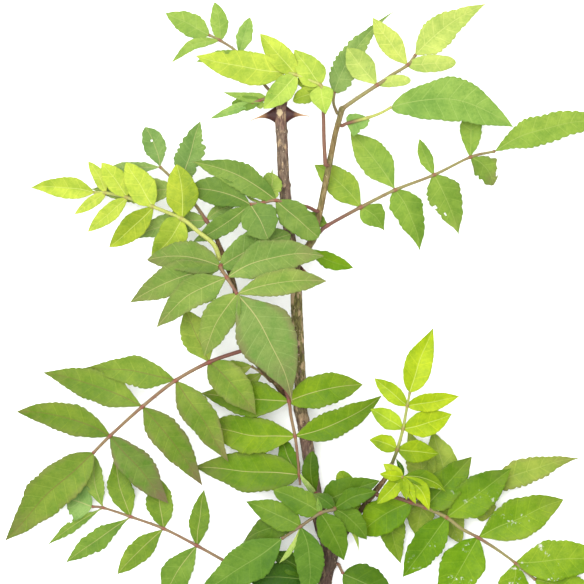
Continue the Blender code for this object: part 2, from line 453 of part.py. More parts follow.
def join_all(base, repeats, collection):
    """Join a collection of repeats to the base with one union, then remove them."""
    union = base.modifiers.new("union", "BOOLEAN")
    union.operation = "UNION"
    union.solver = "MANIFOLD"
    union.operand_type = "COLLECTION"
    union.collection = repeats
    name = base.name
    base.name = name + "_base"
    joined = make_solid(name, base, collection, UNION_WELD_DISTANCE)
    for repeat in list(repeats.objects):
        bpy.data.objects.remove(repeat, do_unlink=True)
    bpy.data.collections.remove(repeats)
    return joined


def set_origin(solid, point):
    """Move the object's origin to a layout point and leave its mesh in place."""
    origin = place(point)
    for vertex in solid.data.vertices:
        vertex.co -= origin
    solid.location = origin


def make_shoot(name, finish, points, leaflets, bevel_resolution, parts):
    """Make a tube of stem or rachis with its leaflets, thorns excepted, as one solid."""
    solid = make_tube(name, points, bevel_resolution, parts)
    if leaflets:
        repeats = make_collection(name + "_leaflets")
        for number, leaflet in enumerate(leaflets):
            make_blade(f"{name}_leaflet_{number}", points[leaflet.joint][:3], leaflet, repeats)
        solid = join_all(solid, repeats, parts)
    finish_solid(solid, finish, points[0])
    return solid


def finish_solid(solid, finish, origin):
    """Give a finished solid its origin, its material and smooth shading."""
    set_origin(solid, origin)
    solid.data.materials.clear()
    solid.data.materials.append(make_material(solid.name, finish))
    solid.data.shade_smooth()
    solid.data.set_sharp_from_angle(angle=math.radians(40.0))


def make_leaf(leaf, parts):
    """Make a pinnate leaf: a tapered rachis with its leaflets."""
    last = len(leaf.rachis) - 1
    thick, thin = leaf.thick
    points = [(*point, thick + (thin - thick) * index / last)
              for index, point in enumerate(leaf.rachis)]
    return make_shoot(leaf.name, leaf.finish, points, leaf.leaflets, RACHIS_BEVEL_RESOLUTION, parts)


def make_thorn(name, thorn, collection):
    """Make a flat thorn as a loft of shrinking ovals from its broad foot to its tip."""
    foot = Vector(thorn.foot)
    tip = Vector(thorn.tip)
    along = Vector(thorn.along).normalized()
    outward = (tip - foot).normalized()
    across = along.cross(outward).normalized()
    shares = (0.0, 0.14, 0.3, 0.5, 0.75, 0.92)
    corners = 8
    shaped = bmesh.new()
    rings = []
    for share in shares:
        centre = foot.lerp(tip, share) + along * (thorn.curve * 4.0 * share * (1.0 - share))
        narrow = (1.0 - share) ** 2.6 + 0.035
        ring = []
        for corner in range(corners):
            angle = 2.0 * math.pi * corner / corners
            offset = (along * (0.5 * thorn.base_length * narrow * math.cos(angle))
                      + across * (0.5 * thorn.thickness * (1.0 - 0.9 * share) * math.sin(angle)))
            ring.append(shaped.verts.new(place(centre + offset)))
        rings.append(ring)
    for lower, upper in zip(rings, rings[1:]):
        for corner in range(corners):
            following = (corner + 1) % corners
            shaped.faces.new((lower[corner], lower[following], upper[following], upper[corner]))
    shaped.faces.new(reversed(rings[0]))
    point = shaped.verts.new(place(tip))
    for corner in range(corners):
        shaped.faces.new((rings[-1][corner], rings[-1][(corner + 1) % corners], point))
    bmesh.ops.recalc_face_normals(shaped, faces=shaped.faces)
    mesh = bpy.data.meshes.new(name)
    shaped.to_mesh(mesh)
    shaped.free()
    solid = bpy.data.objects.new(name, mesh)
    collection.objects.link(solid)
    return solid


def make_main_stem(parts):
    """Make the woody stem with its thorns, its top knob and its dried stub."""
    stem = make_tube("main_stem", STEM_POINTS, STEM_BEVEL_RESOLUTION, parts)
    repeats = make_collection("main_stem_thorns")
    for number, thorn in enumerate(THORNS):
        make_thorn(f"thorn_{number}", thorn, repeats)
    make_tube("top_knob", KNOB_POINTS, SHOOT_BEVEL_RESOLUTION, repeats)
    make_tube("dried_stub", STUB_POINTS, RACHIS_BEVEL_RESOLUTION, repeats)
    stem = join_all(stem, repeats, parts)
    finish_solid(stem, BARK, STEM_POINTS[0])
    return stem


def main():
    """Build the sprig: stem, side shoots, then the leaves."""
    clear_scene()
    parts = make_collection(SPRIG_NAME)
    make_main_stem(parts)
    make_shoot("right_branch", GREEN_BARK, RIGHT_BRANCH_POINTS, RIGHT_BRANCH_LEAFLETS,
               SHOOT_BEVEL_RESOLUTION, parts)
    make_shoot("left_branch", GREEN_BARK, LEFT_BRANCH_POINTS, [], SHOOT_BEVEL_RESOLUTION, parts)
    make_shoot("lower_right_branch", GREEN_BARK, LOWER_RIGHT_BRANCH_POINTS,
               LOWER_RIGHT_BRANCH_LEAFLETS, SHOOT_BEVEL_RESOLUTION, parts)
    for leaf in LEAVES:
        make_leaf(leaf, parts)


main()
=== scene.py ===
"""Dress the sprig of Sichuan pepper: fine leaflets, rachises, bark and thorns on a pale floor.

Positions are in layout millimetres, x to the right, y up the sprig and z above the ground. Every
piece follows the path, tip and width of the solid that it stands for.
"""
from __future__ import annotations

import logging
import math
import random
from collections.abc import Callable
from dataclasses import dataclass, field
from enum import Enum

import bpy
import numpy as np
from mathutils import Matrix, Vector, noise

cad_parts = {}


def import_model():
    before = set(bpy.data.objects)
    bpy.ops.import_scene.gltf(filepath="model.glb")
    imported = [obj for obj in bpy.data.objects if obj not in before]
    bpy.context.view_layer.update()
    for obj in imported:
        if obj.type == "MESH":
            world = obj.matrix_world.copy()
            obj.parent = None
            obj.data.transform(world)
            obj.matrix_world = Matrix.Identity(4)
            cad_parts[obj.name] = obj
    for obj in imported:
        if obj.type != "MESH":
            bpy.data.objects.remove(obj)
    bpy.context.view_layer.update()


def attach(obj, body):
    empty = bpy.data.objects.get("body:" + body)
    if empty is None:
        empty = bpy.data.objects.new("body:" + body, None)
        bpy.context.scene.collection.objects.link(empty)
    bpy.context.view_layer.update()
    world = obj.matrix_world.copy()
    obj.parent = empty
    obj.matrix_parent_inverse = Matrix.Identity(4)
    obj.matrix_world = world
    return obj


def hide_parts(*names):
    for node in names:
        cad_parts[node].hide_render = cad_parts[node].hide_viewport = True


LOG = logging.getLogger("sprig")

MM = 0.001
SPRIG_CENTRE = (8.9, -8.2)
PHOTO_SPAN = 0.3504
CAMERA_HEIGHT = 2.2
FOCUS_HEIGHT = 0.028
SENSOR = 36.0
BLADE_THICKNESS = 0.34
TOOTH_LENGTH = 3.6
ROWS_PER_TOOTH = 5
COLUMNS = 7
VEIN_SKEW = 0.30
SEED = 11
LIGHT_GAIN = 2.75
SHADE = (0.58, 0.58, 0.58)
GLOSS = 0.006

# How a leaflet's sheet departs from a flat one, in millimetres or as shares
SWAY = 0.01
RUFFLE = 0.032
QUILT = -0.09
GUTTER_DEPTH = -0.20
GUTTER_WIDTH = 0.7
TWIST = 0.14
TINT_SPREAD = (0.02, 0.16)
WAVER = 0.30
# Painted shade: how much darker one half of each leaflet is made than the other, as if shaded by
# its fold
PAINTED_HALF_SHADE = 0.34
BAY_DEPTH = 0.055
TOOTH_DEPTH = 1.5
DEEPEST_TOOTH = 0.12
TOOTHED_SHARE = 0.86
LANE_POWER = 0.85
ROOT_HALF = 0.55

# The rachis and what is scattered over it and over the bark
RACHIS_LIFT = 0.4
RACHIS_SIDES = 12
FOOT_BLEND = 0.2
JOINT_SWELL = 0.25
JOINT_REACH = 1.5
PRICKLE_DENSITY = 16000.0
PRICKLE_SIZE = 0.0007
BEAD_DENSITY = 26000.0
BEAD_SIZE = 0.00042
BEAD_SEED = 5
BARK_STATE = (0.3, 0.5, 0.5, 1.0)

# The material indices of a shoot
BARK, THORN, WOOD = 0, 1, 2

Point = tuple[float, float, float]
Colour = tuple[float, float, float]
Ring = tuple[float, float, float, float]
Socket = bpy.types.NodeSocket


class Tone(Enum):
    """The named tints of a leaf: its colour as seen on a screen and its record slot."""

    YOUNG = ((212, 232, 84), "leaf_young")
    PALE = ((214, 234, 118), "leaf_young")
    GOLD = ((194, 220, 46), "leaf_young")
    SPRING = ((168, 202, 92), "leaf_green")
    MID = ((154, 190, 76), "leaf_green")
    BLUE = ((142, 178, 96), "leaf_dark")
    GREY = ((134, 166, 76), "leaf_grey_green")
    ROSETTE = ((144, 176, 80), "leaf_green")
    MOSS = ((136, 168, 60), "leaf_green")
    OLIVE = ((132, 166, 52), "leaf_olive")
    BRIGHT = ((124, 168, 30), "leaf_bright")
    DEEP = ((112, 150, 50), "leaf_dark")

    @property
    def seen(self) -> tuple[int, int, int]:
        """Return the colour as seen, in screen values."""
        return self.value[0]

    @property
    def slot(self) -> str:
        """Return the record's material slot."""
        return self.value[1]


LIGHTER = (226, 240, 112)
DARKER = (66, 106, 30)
COOLER = (-18, 1, 36)


def linear(seen: Colour) -> Colour:
    """Turn screen values into linear ones."""
    return tuple((value / 255.0 / 12.92 if value <= 10.3
                  else ((value / 255.0 + 0.055) / 1.055) ** 2.4) for value in seen)


def shifted(seen: tuple[int, int, int], youth: float, cool: float) -> Colour:
    """Shift a screen colour towards the young or the old one and towards blue green.

    Args:
        seen: screen values.
        youth: from -1, old, to 1, young.
        cool: from -1, yellow, to 1, blue green.

    Returns:
        The linear colour under the studio's light.
    """
    aim = LIGHTER if youth > 0.0 else DARKER
    share = min(1.0, abs(youth))
    mixed = tuple(a + (b - a) * share for a, b in zip(seen, aim))
    mixed = tuple(value + cool * turn for value, turn in zip(mixed, COOLER))
    return tuple(max(0.002, value / LIGHT_GAIN - GLOSS) for value in linear(mixed))


class Rib(Enum):
    """The named colours of a leaflet's midrib."""

    GREEN = (0.17, 0.21, 0.060)
    CREAM = (0.30, 0.33, 0.09)
    PINK = (0.27, 0.235, 0.10)
    RED = (0.085, 0.036, 0.018)


class Stalk(Enum):
    """The named colours of a rachis."""

    GREEN = "green"
    OCHRE = "ochre"
    RED = "red"
    BROWN = "brown"
    FRESH = "fresh"


@dataclass(frozen=True)
class Blade:
    """One leaflet, from a rachis point to its tip.

    Attributes:
        joint: index of the rachis point that it grows from.
        tip: layout point of its tip.
        width: full width in millimetres.
        bow: sideways bend of the midrib as a share of the length.
        arch: lift of the middle as a share of the length.
        fold: lift of the edges as a share of the half width.
        belly: share of the length at which it is widest.
        taper: how drawn out its tip is.
        root: how narrow its root is.
        youth: shift of the leaf's youth.
        cool: shift towards blue green.
        purple: share of purple brown at the edges and the tip.
        ragged: how uneven its edge is.
        bites: holes as (share of length, share of half width, radius in millimetres).
    """

    joint: int
    tip: Point
    width: float
    bow: float = 0.0
    arch: float = 0.05
    fold: float = 0.16
    belly: float = 0.40
    taper: float = 1.15
    root: float = 0.8
    youth: float = 0.0
    cool: float = 0.0
    purple: float = 0.0
    ragged: float = 1.0
    bites: tuple[Point, ...] = ()


@dataclass(frozen=True)
class LeafPlan:
    """The measured plan of one pinnate leaf.

    Attributes:
        name: node that the leaf stands for.
        tone: age and tint.
        stalk: colour of the rachis.
        rib: colour of the midribs.
        rachis: layout points of the rachis.
        thick: radius at the foot and at the end in millimetres.
        blades: leaflets.
        foot: share of the rachis that has its foot's colour.
    """

    name: str
    tone: Tone
    stalk: Stalk
    rib: Rib
    rachis: tuple[Point, ...]
    thick: tuple[float, float]
    blades: tuple[Blade, ...]
    foot: float = 0.25


def row(joint: int, x: float, y: float, z: float, width: float, bow: float = 0.0,
        arch: float = 0.05, fold: float = 0.16, **look: float | tuple[Point, ...]) -> Blade:
    """Describe a leaflet by its joint, tip and width.

    Args:
        joint: index of the rachis point.
        x: tip, to the right.
        y: tip, up the sprig.
        z: tip, above the ground.
        width: full width.
        bow: sideways bend.
        arch: lift of the middle.
        fold: lift of the edges.
        **look: belly, taper, root, youth, cool, purple, ragged and bites.

    Returns:
        The leaflet.
    """
    return Blade(joint, (x, y, z), width, bow, arch, fold, **look)


LEAVES = (
    LeafPlan("leaf_top_left", Tone.SPRING, Stalk.OCHRE, Rib.GREEN, (
        (-8.4, 113.0, 32.6), (-13.0, 120.0, 31.8), (-17.2, 125.0, 31.0), (-31.7, 142.8, 28.0),
        (-43.1, 151.1, 25.0), (-49.9, 154.5, 23.0),
    ), (1.1, 0.7), (
        row(5, -76.5, 168.5, 14.0, 14.5, -0.01, belly=0.36, taper=1.0, root=0.65),
        row(4, -46.6, 174.9, 18.0, 10.8, -0.04, belly=0.44, taper=1.0, root=0.55),
        row(4, -72.7, 138.0, 16.0, 6.6, -0.12, 0.12, taper=1.0, root=0.88, youth=0.1),
        row(3, -25.2, 165.4, 22.0, 9.6, belly=0.48, taper=0.92, root=0.95, youth=0.1, cool=0.2),
        row(3, -57.9, 138.8, 20.0, 8.3, root=0.55),
    )),
    LeafPlan("leaf_top_small", Tone.SPRING, Stalk.RED, Rib.GREEN, (
        (-10.9, 113.4, 36.4), (-14.4, 115.6, 37.0), (-19.0, 114.5, 37.0), (-24.0, 113.2, 36.0),
    ), (0.9, 0.7), (
        row(1, -41.5, 119.8, 33.0, 6.4, 0.04, belly=0.25, root=0.65),
        row(3, -49.3, 103.8, 30.0, 5.9, belly=0.30, taper=1.0, root=0.7, youth=0.1, cool=0.3),
        row(2, -36.2, 112.9, 33.0, 9.1, 0.05, belly=0.49, taper=0.7, root=0.55, ragged=1.8,
            youth=-0.4),
        row(2, -19.0, 109.6, 34.5, 5.2, taper=0.65, youth=0.1),
    )),
    LeafPlan("leaf_young_front", Tone.YOUNG, Stalk.FRESH, Rib.CREAM, (
        (19.9, 76.0, 38.6), (19.1, 90.0, 41.0), (18.7, 106.0, 43.0), (18.0, 119.0, 44.0),
        (16.9, 123.2, 44.0), (10.0, 126.3, 43.5), (2.5, 129.4, 43.0), (-4.0, 131.0, 42.0),
    ), (1.25, 0.8), (
        row(7, -57.8, 141.4, 33.0, 20.0, 0.03, belly=0.36, taper=1.07, root=0.62, ragged=0.7,
            bites=((0.66, -1.0, 1.8),)),
        row(6, -19.0, 154.2, 38.0, 14.5, belly=0.38, taper=0.92, root=0.65, ragged=0.5),
        row(6, -17.1, 109.2, 43.0, 14.0, 0.02, taper=0.9, root=0.55, ragged=0.6, cool=0.4,
            youth=-0.05),
        row(4, 1.3, 144.8, 40.0, 16.8, belly=0.26, taper=1.0, root=0.55, ragged=0.6, cool=0.2),
        row(4, 20.1, 105.5, 52.0, 14.2, -0.02, 0.05, 0.25, belly=0.32, root=0.95, ragged=0.4,
            cool=0.4),
        row(3, 0.5, 114.0, 39.0, 10.0, -0.06, belly=0.50, taper=0.7, youth=-0.2),
        row(3, 0.0, 126.9, 38.5, 8.2, -0.06, youth=-0.5),
    ), foot=0.62),
    LeafPlan("leaf_single_long", Tone.BLUE, Stalk.OCHRE, Rib.GREEN, (
        (27.0, 107.0, 33.5), (24.9, 113.0, 32.0), (25.3, 119.6, 30.0),
    ), (1.0, 0.8), (
        row(2, 67.7, 173.3, 12.0, 15.8, 0.09, belly=0.2, taper=2.5, root=0.5, ragged=2.0,
            youth=0.35, cool=0.1),
    ), foot=-1.0),
    LeafPlan("leaf_top_right", Tone.PALE, Stalk.OCHRE, Rib.CREAM, (
        (31.0, 110.2, 37.0), (40.2, 116.5, 38.0), (50.9, 123.6, 38.0), (60.2, 130.0, 37.0),
        (69.1, 135.7, 35.0), (74.0, 142.0, 33.0),
    ), (1.3, 0.85), (
        row(5, 118.0, 174.4, 13.0, 19.1, 0.052, belly=0.27, taper=1.38, root=0.88, ragged=1.4,
            youth=0.15),
        row(4, 48.2, 164.7, 30.0, 13.8, 0.02, belly=0.44, taper=1.07, root=1.03, ragged=0.5,
            cool=-0.2),
        row(4, 98.4, 137.7, 29.0, 10.7, belly=0.41, taper=0.5, root=0.55, ragged=0.6),
        row(2, 32.9, 146.3, 34.0, 16.0, 0.02, belly=0.52, taper=1.0, root=1.1, ragged=0.6,
            youth=-0.1),
        row(2, 71.1, 126.6, 37.0, 7.3, 0.04, belly=0.54, taper=0.5, root=0.65, ragged=0.5),
    ), foot=0.0),
    LeafPlan("leaf_upper_right", Tone.MID, Stalk.FRESH, Rib.GREEN, (
        (30.0, 99.4, 34.6), (33.4, 101.0, 34.2), (45.4, 104.3, 33.5), (53.2, 107.2, 32.5),
        (59.7, 110.8, 31.5),
    ), (1.1, 0.8), (
        row(4, 133.6, 99.4, 16.5, 26.2, 0.13, 0.04, belly=0.49, root=0.5, ragged=1.2, youth=0.15,
            cool=0.3),
        row(2, 36.8, 93.0, 31.0, 12.6, -0.3, taper=1.0, root=0.45, youth=0.3, cool=0.5),
    ), foot=0.35),
    LeafPlan("leaf_right_long", Tone.MID, Stalk.OCHRE, Rib.GREEN, (
        (16.6, 35.8, 30.5), (21.2, 39.8, 30.0), (41.3, 50.9, 28.0), (61.9, 61.3, 25.0),
        (85.5, 70.5, 21.0), (107.5, 81.3, 16.0), (122.6, 85.0, 13.0),
    ), (1.2, 0.8), (
        row(6, 190.0, 103.0, 0.4, 18.5, 0.085, 0.03, belly=0.44, taper=0.85, root=0.9,
            ragged=1.9, youth=0.15),
        row(5, 108.7, 113.8, 13.5, 13.4, belly=0.52, taper=1.0, root=0.95, youth=0.1),
        row(5, 121.9, 64.6, 11.0, 15.2, 0.14, belly=0.47, taper=0.7, root=1.1, youth=-0.1,
            purple=0.6, ragged=2.0, bites=((0.8, 0.9, 1.5),)),
        row(4, 76.9, 92.5, 17.5, 8.3, 0.04, belly=0.48, taper=1.0, root=0.88),
        row(4, 101.0, 34.6, 9.0, 20.6, 0.03, belly=0.32, taper=1.37, root=0.65, purple=0.2,
            ragged=1.6, bites=((0.45, -0.85, 1.3), (0.62, -0.55, 0.9))),
        row(3, 35.3, 95.9, 17.0, 20.0, -0.035, belly=0.46, taper=1.0, root=1.4, youth=0.1,
            ragged=0.8),
        row(3, 77.2, 24.6, 14.0, 18.6, 0.072, belly=0.28, taper=1.3, root=0.55, ragged=1.2,
            youth=-0.1),
        row(2, 13.2, 76.6, 24.0, 17.8, -0.06, 0.0, belly=0.44, taper=1.07, root=0.95, youth=0.05,
            cool=-0.2),
        row(2, 55.8, 36.3, 20.0, 15.5, 0.10, belly=0.36, taper=1.75, youth=-0.1),
        row(1, 10.2, 48.0, 25.5, 8.3, 0.06, -0.04, 0.10, belly=0.52, taper=1.0, youth=-0.1),
    )),
    LeafPlan("leaf_left_upper", Tone.YOUNG, Stalk.FRESH, Rib.CREAM, (
        (-43.0, 19.5, 48.0), (-46.6, 28.3, 49.5), (-55.8, 35.9, 49.0), (-65.5, 43.5, 46.0),
        (-82.8, 50.8, 38.0), (-98.7, 56.6, 29.0), (-112.2, 59.7, 20.0), (-119.4, 60.1, 15.5),
    ), (1.5, 0.75), (
        row(7, -158.9, 63.4, 0.4, 13.3, -0.04, 0.03, belly=0.36, youth=-0.1, ragged=0.5),
        row(6, -123.0, 78.8, 15.0, 8.0, -0.06, taper=0.85, ragged=0.5, youth=0.3),
        row(6, -131.6, 46.8, 12.0, 7.0, belly=0.38, taper=1.0, root=0.55, youth=0.3, ragged=0.5),
        row(5, -114.7, 78.0, 22.0, 13.4, -0.02, belly=0.44, taper=1.0, ragged=0.5),
        row(5, -123.2, 36.2, 17.0, 10.5, belly=0.42, taper=1.0, root=0.75, ragged=0.5, youth=0.2),
        row(4, -99.4, 77.6, 31.0, 17.4, belly=0.36, taper=0.85, ragged=0.6),
        row(4, -109.8, 26.8, 27.0, 14.8, 0.02, belly=0.44, taper=1.0, youth=-0.2, ragged=0.6,
            cool=-0.2),
        row(3, -68.7, 76.1, 43.0, 19.3, -0.05, taper=0.85, root=1.0, youth=-0.25, ragged=0.5,
            cool=-0.2),
        row(3, -83.9, 20.8, 35.0, 18.1, 0.06, belly=0.28, taper=0.85, root=0.55, youth=-0.25,
            ragged=0.7),
    ), foot=-1.0),
    LeafPlan("leaf_left_dark", Tone.BLUE, Stalk.OCHRE, Rib.PINK, (
        (-47.4, 37.2, 41.2), (-51.2, 42.7, 38.5), (-58.3, 52.7, 35.0), (-67.0, 62.0, 31.0),
        (-73.1, 69.3, 28.0), (-79.2, 75.1, 25.5),
    ), (1.2, 0.8), (
        row(5, -88.7, 99.6, 16.0, 14.0, -0.06, belly=0.52, taper=0.85, root=1.1, ragged=1.3,
            bites=((0.65, 0.1, 0.8),)),
        row(5, -109.0, 75.8, 15.0, 7.6, 0.02, belly=0.50, taper=0.85, root=1.1, youth=0.3,
            cool=0.2),
        row(3, -55.1, 103.2, 20.0, 16.6, 0.008, belly=0.48, taper=1.22, root=0.95, ragged=2.0,
            bites=((0.7, -0.9, 1.0),)),
        row(3, -121.6, 62.4, 8.0, 16.2, 0.02, belly=0.36, root=1.03, youth=0.4),
        row(1, -100.2, 29.8, 16.0, 14.8, -0.07, belly=0.32, taper=1.45, root=0.55, youth=0.25),
        row(1, -33.3, 51.6, 31.0, 7.0, 0.10, youth=0.2),
    )),
    LeafPlan("leaf_centre_upper", Tone.GREY, Stalk.RED, Rib.PINK, (
        (14.0, 48.5, 36.0), (9.2, 50.8, 39.0), (0.0, 52.5, 41.0), (-9.6, 54.6, 42.5),
        (-17.0, 53.3, 43.0), (-25.0, 52.3, 43.0),
    ), (1.1, 0.8), (
        row(3, -59.4, 77.8, 36.0, 16.4, -0.07, 0.08, belly=0.42, root=0.6, ragged=1.3),
        row(3, 15.9, 32.5, 41.0, 17.7, belly=0.44, taper=0.5, root=0.78),
        row(5, -65.2, 61.4, 37.5, 17.2, -0.08, belly=0.48, youth=-0.2, ragged=0.9),
        row(5, -59.1, 29.8, 46.0, 12.4, 0.04, 0.03, belly=0.48, root=0.95, youth=-0.1),
        row(5, -14.3, 31.3, 46.5, 22.4, 0.04, taper=0.75, root=0.55, cool=0.1, ragged=1.6,
            belly=0.45),
        row(4, -11.8, 71.2, 37.0, 12.5, -0.10, belly=0.58, taper=0.5, root=0.55, youth=0.35),
        row(4, -11.9, 75.1, 34.5, 2.6, -0.06, youth=0.2),
        row(4, -30.0, 61.0, 36.0, 1.6, 0.10, 0.0, youth=0.3),
    )),
    LeafPlan("leaf_centre_rosette", Tone.ROSETTE, Stalk.RED, Rib.PINK, (
        (-40.3, 19.0, 47.4), (-42.4, 15.0, 52.5), (-38.5, 8.5, 58.5), (-32.4, -1.2, 62.0),
    ), (1.3, 0.9), (
        row(1, -86.4, 19.1, 43.0, 18.9, -0.09, belly=0.36, taper=0.85, root=0.55, purple=0.5,
            youth=-0.1),
        row(1, -97.2, -6.6, 39.0, 20.2, -0.05, belly=0.42, taper=1.22, root=0.95, purple=0.45),
        row(2, -80.7, -21.3, 45.0, 18.8, -0.08, belly=0.32, taper=1.07, root=1.1, purple=0.4),
        row(1, -0.8, 34.6, 34.0, 20.3, 0.04, -0.02, belly=0.48, taper=0.7, root=0.55, cool=0.2),
        row(2, 18.8, 21.4, 50.0, 22.4, 0.10, taper=1.0, root=1.1, purple=0.45, youth=0.1,
            cool=0.1),
        row(3, 20.5, 6.4, 55.0, 15.7, 0.06, belly=0.50, taper=1.0, root=0.88, purple=0.45,
            youth=0.1),
        row(3, -52.2, -38.3, 45.0, 19.9, -0.06, belly=0.36, taper=1.0, root=0.55, purple=0.3,
            youth=0.15),
        row(3, 0.1, -66.1, 36.0, 35.4, 0.065, belly=0.37, taper=1.6, root=1.15, purple=0.8,
            ragged=0.9, youth=0.1, cool=0.25),
    )),
    LeafPlan("leaf_left_lower", Tone.MOSS, Stalk.RED, Rib.RED, (
        (-26.8, -34.3, 32.0), (-30.5, -35.3, 33.0), (-49.6, -42.0, 33.0), (-69.7, -53.0, 31.0),
        (-89.8, -68.8, 27.0), (-109.4, -86.5, 22.0), (-119.8, -97.0, 19.0),
    ), (1.3, 0.9), (
        row(6, -174.2, -151.2, 3.0, 25.9, -0.018, belly=0.36, taper=1.17, root=0.65, youth=-0.05,
            ragged=1.3, purple=0.5),
        row(5, -166.7, -72.4, 10.0, 18.3, -0.07, taper=1.0, youth=-0.15, ragged=0.9, cool=-0.1,
            purple=0.4),
        row(5, -74.7, -127.8, 14.0, 19.6, 0.005, belly=0.42, purple=1.0, youth=-0.2, cool=0.2),
        row(4, -150.8, -48.6, 14.0, 19.6, -0.045, root=1.1, ragged=1.3, purple=0.3),
        row(4, -53.9, -117.1, 16.0, 19.6, 0.028, belly=0.32, root=1.03, purple=0.8, youth=-0.05),
        row(3, -127.6, -46.3, 20.0, 18.2, -0.042, belly=0.36, taper=1.45, root=1.05, ragged=1.3,
            youth=0.1, purple=0.2),
        row(3, -38.2, -102.3, 22.0, 19.3, 0.012, belly=0.36, taper=1.22, root=0.95, purple=0.7,
            youth=0.05),
        row(2, -64.2, -10.6, 33.0, 19.1, belly=0.48, taper=1.0, root=1.03, youth=0.35),
        row(2, -21.5, -73.6, 31.0, 21.4, 0.04, belly=0.36, root=0.65, purple=0.5, youth=0.1),
    )),
    LeafPlan("leaf_left_small", Tone.MOSS, Stalk.OCHRE, Rib.PINK, (
        (-12.9, -53.9, 23.0), (-18.0, -48.8, 23.5), (-24.5, -44.6, 24.0),
    ), (0.8, 0.7), (
        row(2, -50.0, -50.4, 20.0, 10.7, -0.02, youth=0.5),
        row(1, -36.0, -59.2, 20.0, 8.6, 0.02, belly=0.48, root=0.95, youth=0.3),
    )),
    LeafPlan("leaf_centre_lower", Tone.BRIGHT, Stalk.RED, Rib.PINK, (
        (-4.2, -57.4, 26.0), (-1.8, -65.5, 28.5), (-0.6, -74.5, 28.5), (1.8, -86.5, 27.0),
        (3.4, -99.0, 25.0), (4.3, -109.8, 23.0), (4.9, -116.0, 22.0),
    ), (1.1, 0.7), (
        row(1, -55.4, -61.1, 13.0, 21.4, 0.01, taper=1.22, root=0.88, purple=0.3, cool=-0.2),
        row(1, 42.6, -55.6, 26.0, 20.3, 0.05, belly=0.46, taper=1.0, root=0.55, purple=0.2,
            cool=-0.2, youth=0.05),
        row(3, -49.2, -81.0, 13.0, 22.7, 0.04, belly=0.52, taper=0.7, purple=0.3, cool=-0.2,
            youth=0.05),
        row(3, 54.3, -62.3, 18.0, 17.1, -0.06, belly=0.36, taper=1.07, root=0.95, purple=0.2,
            cool=-0.2),
        row(5, -59.4, -105.7, 9.0, 24.7, 0.0, 0.03, root=0.55, purple=0.4, youth=-0.15,
            cool=-0.2),
        row(5, -5.8, -88.5, 17.0, 11.0, 0.06, 0.0, belly=0.48, taper=0.7, root=0.65, youth=-0.2),
    )),
    LeafPlan("leaf_bottom_front", Tone.DEEP, Stalk.BROWN, Rib.GREEN, (
        (14.3, -121.5, 17.8), (19.0, -126.0, 22.5), (25.6, -130.0, 28.0), (17.0, -132.4, 31.0),
        (5.1, -140.5, 30.0), (-6.0, -148.0, 27.0),
    ), (1.2, 0.8), (
        row(5, -60.0, -184.0, 9.0, 24.0, 0.02, belly=0.32, taper=1.3, root=1.0, cool=0.2),
        row(4, -27.8, -125.9, 23.0, 16.6, -0.02, belly=0.36, root=0.55, youth=0.1),
        row(4, 8.5, -183.0, 14.0, 17.8, 0.09, taper=0.77, root=1.03, cool=0.2),
        row(3, -11.2, -119.0, 29.0, 15.6, -0.05, belly=0.32, taper=0.7, root=0.62, youth=0.1),
        row(3, 31.4, -161.7, 21.0, 17.0, 0.04, root=0.55, youth=-0.1),
        row(2, 50.6, -119.6, 31.0, 11.7, 0.08, belly=0.44, taper=1.0, youth=-0.2),
        row(2, 45.0, -149.0, 21.0, 13.8, 0.08, taper=1.0, root=0.55),
        row(1, 52.7, -113.3, 26.0, 18.6, 0.02, belly=0.22, taper=1.0, root=0.55, youth=-0.1),
        row(0, 12.3, -95.6, 23.0, 10.3, 0.08, belly=0.56, taper=0.7, root=0.95, youth=-0.5,
            cool=-0.3),
        row(4, -30.0, -151.2, 20.0, 15.9, -0.11, -0.03, -0.06, belly=0.44, taper=1.45, root=1.5,
            youth=-0.2, purple=0.3),
        row(0, 4.7, -108.9, 27.5, 3.6, 0.04, belly=0.22, taper=0.85, ragged=0.2, youth=0.9,
            cool=0.6),
        row(3, 15.2, -123.0, 33.5, 3.6, belly=0.30, ragged=0.3, youth=0.3, cool=0.3),
        row(2, 12.6, -120.6, 34.0, 9.0, -0.04, belly=0.45, youth=-0.15, cool=0.2, purple=0.3),
        row(2, 40.2, -157.0, 17.5, 3.0, 0.11, belly=0.56, taper=1.45, ragged=0.5, youth=0.6),
        row(4, -7.8, -163.2, 21.0, 3.4, 0.07, belly=0.65, youth=0.8, cool=0.4),
    )),
    LeafPlan("leaf_lower_right_young", Tone.GOLD, Stalk.GREEN, Rib.CREAM, (
        (60.6, -101.5, 27.6), (63.1, -94.5, 29.0), (66.5, -82.0, 31.0), (69.0, -68.1, 32.0),
        (70.6, -60.0, 32.0),
    ), (1.1, 0.7), (
        row(4, 85.3, -21.1, 22.0, 17.0, 0.02, belly=0.36, taper=1.3, root=0.55, ragged=0.4),
        row(3, 49.3, -51.6, 30.0, 10.5, belly=0.44, taper=1.0, root=0.65, ragged=0.5),
        row(3, 100.8, -62.5, 26.0, 11.2, -0.01, belly=0.42, root=0.55, ragged=0.5, youth=0.05,
            cool=-0.1),
        row(2, 47.1, -70.2, 29.0, 11.7, -0.02, belly=0.44, taper=1.0, ragged=0.6, cool=0.2),
        row(2, 96.2, -73.2, 25.0, 15.9, -0.03, belly=0.46, root=0.72, ragged=0.6),
        row(1, 46.3, -88.7, 27.0, 10.7, -0.08, belly=0.36, taper=1.0, root=0.88, ragged=0.6,
            youth=-0.2),
        row(1, 88.5, -97.2, 25.0, 14.0, taper=1.22, ragged=0.6, youth=-0.3),
    )),
    LeafPlan("shoot_tip_young", Tone.GOLD, Stalk.GREEN, Rib.CREAM, (
        (57.8, -111.6, 26.6), (62.0, -111.0, 30.0), (66.6, -110.7, 32.5),
    ), (0.9, 0.9), (
        row(2, 54.5, -102.6, 36.0, 7.5, 0.03, taper=1.0, youth=0.2, ragged=0.5),
        row(2, 52.3, -108.7, 37.0, 6.5, belly=0.42, taper=1.0, youth=-0.1, ragged=0.5),
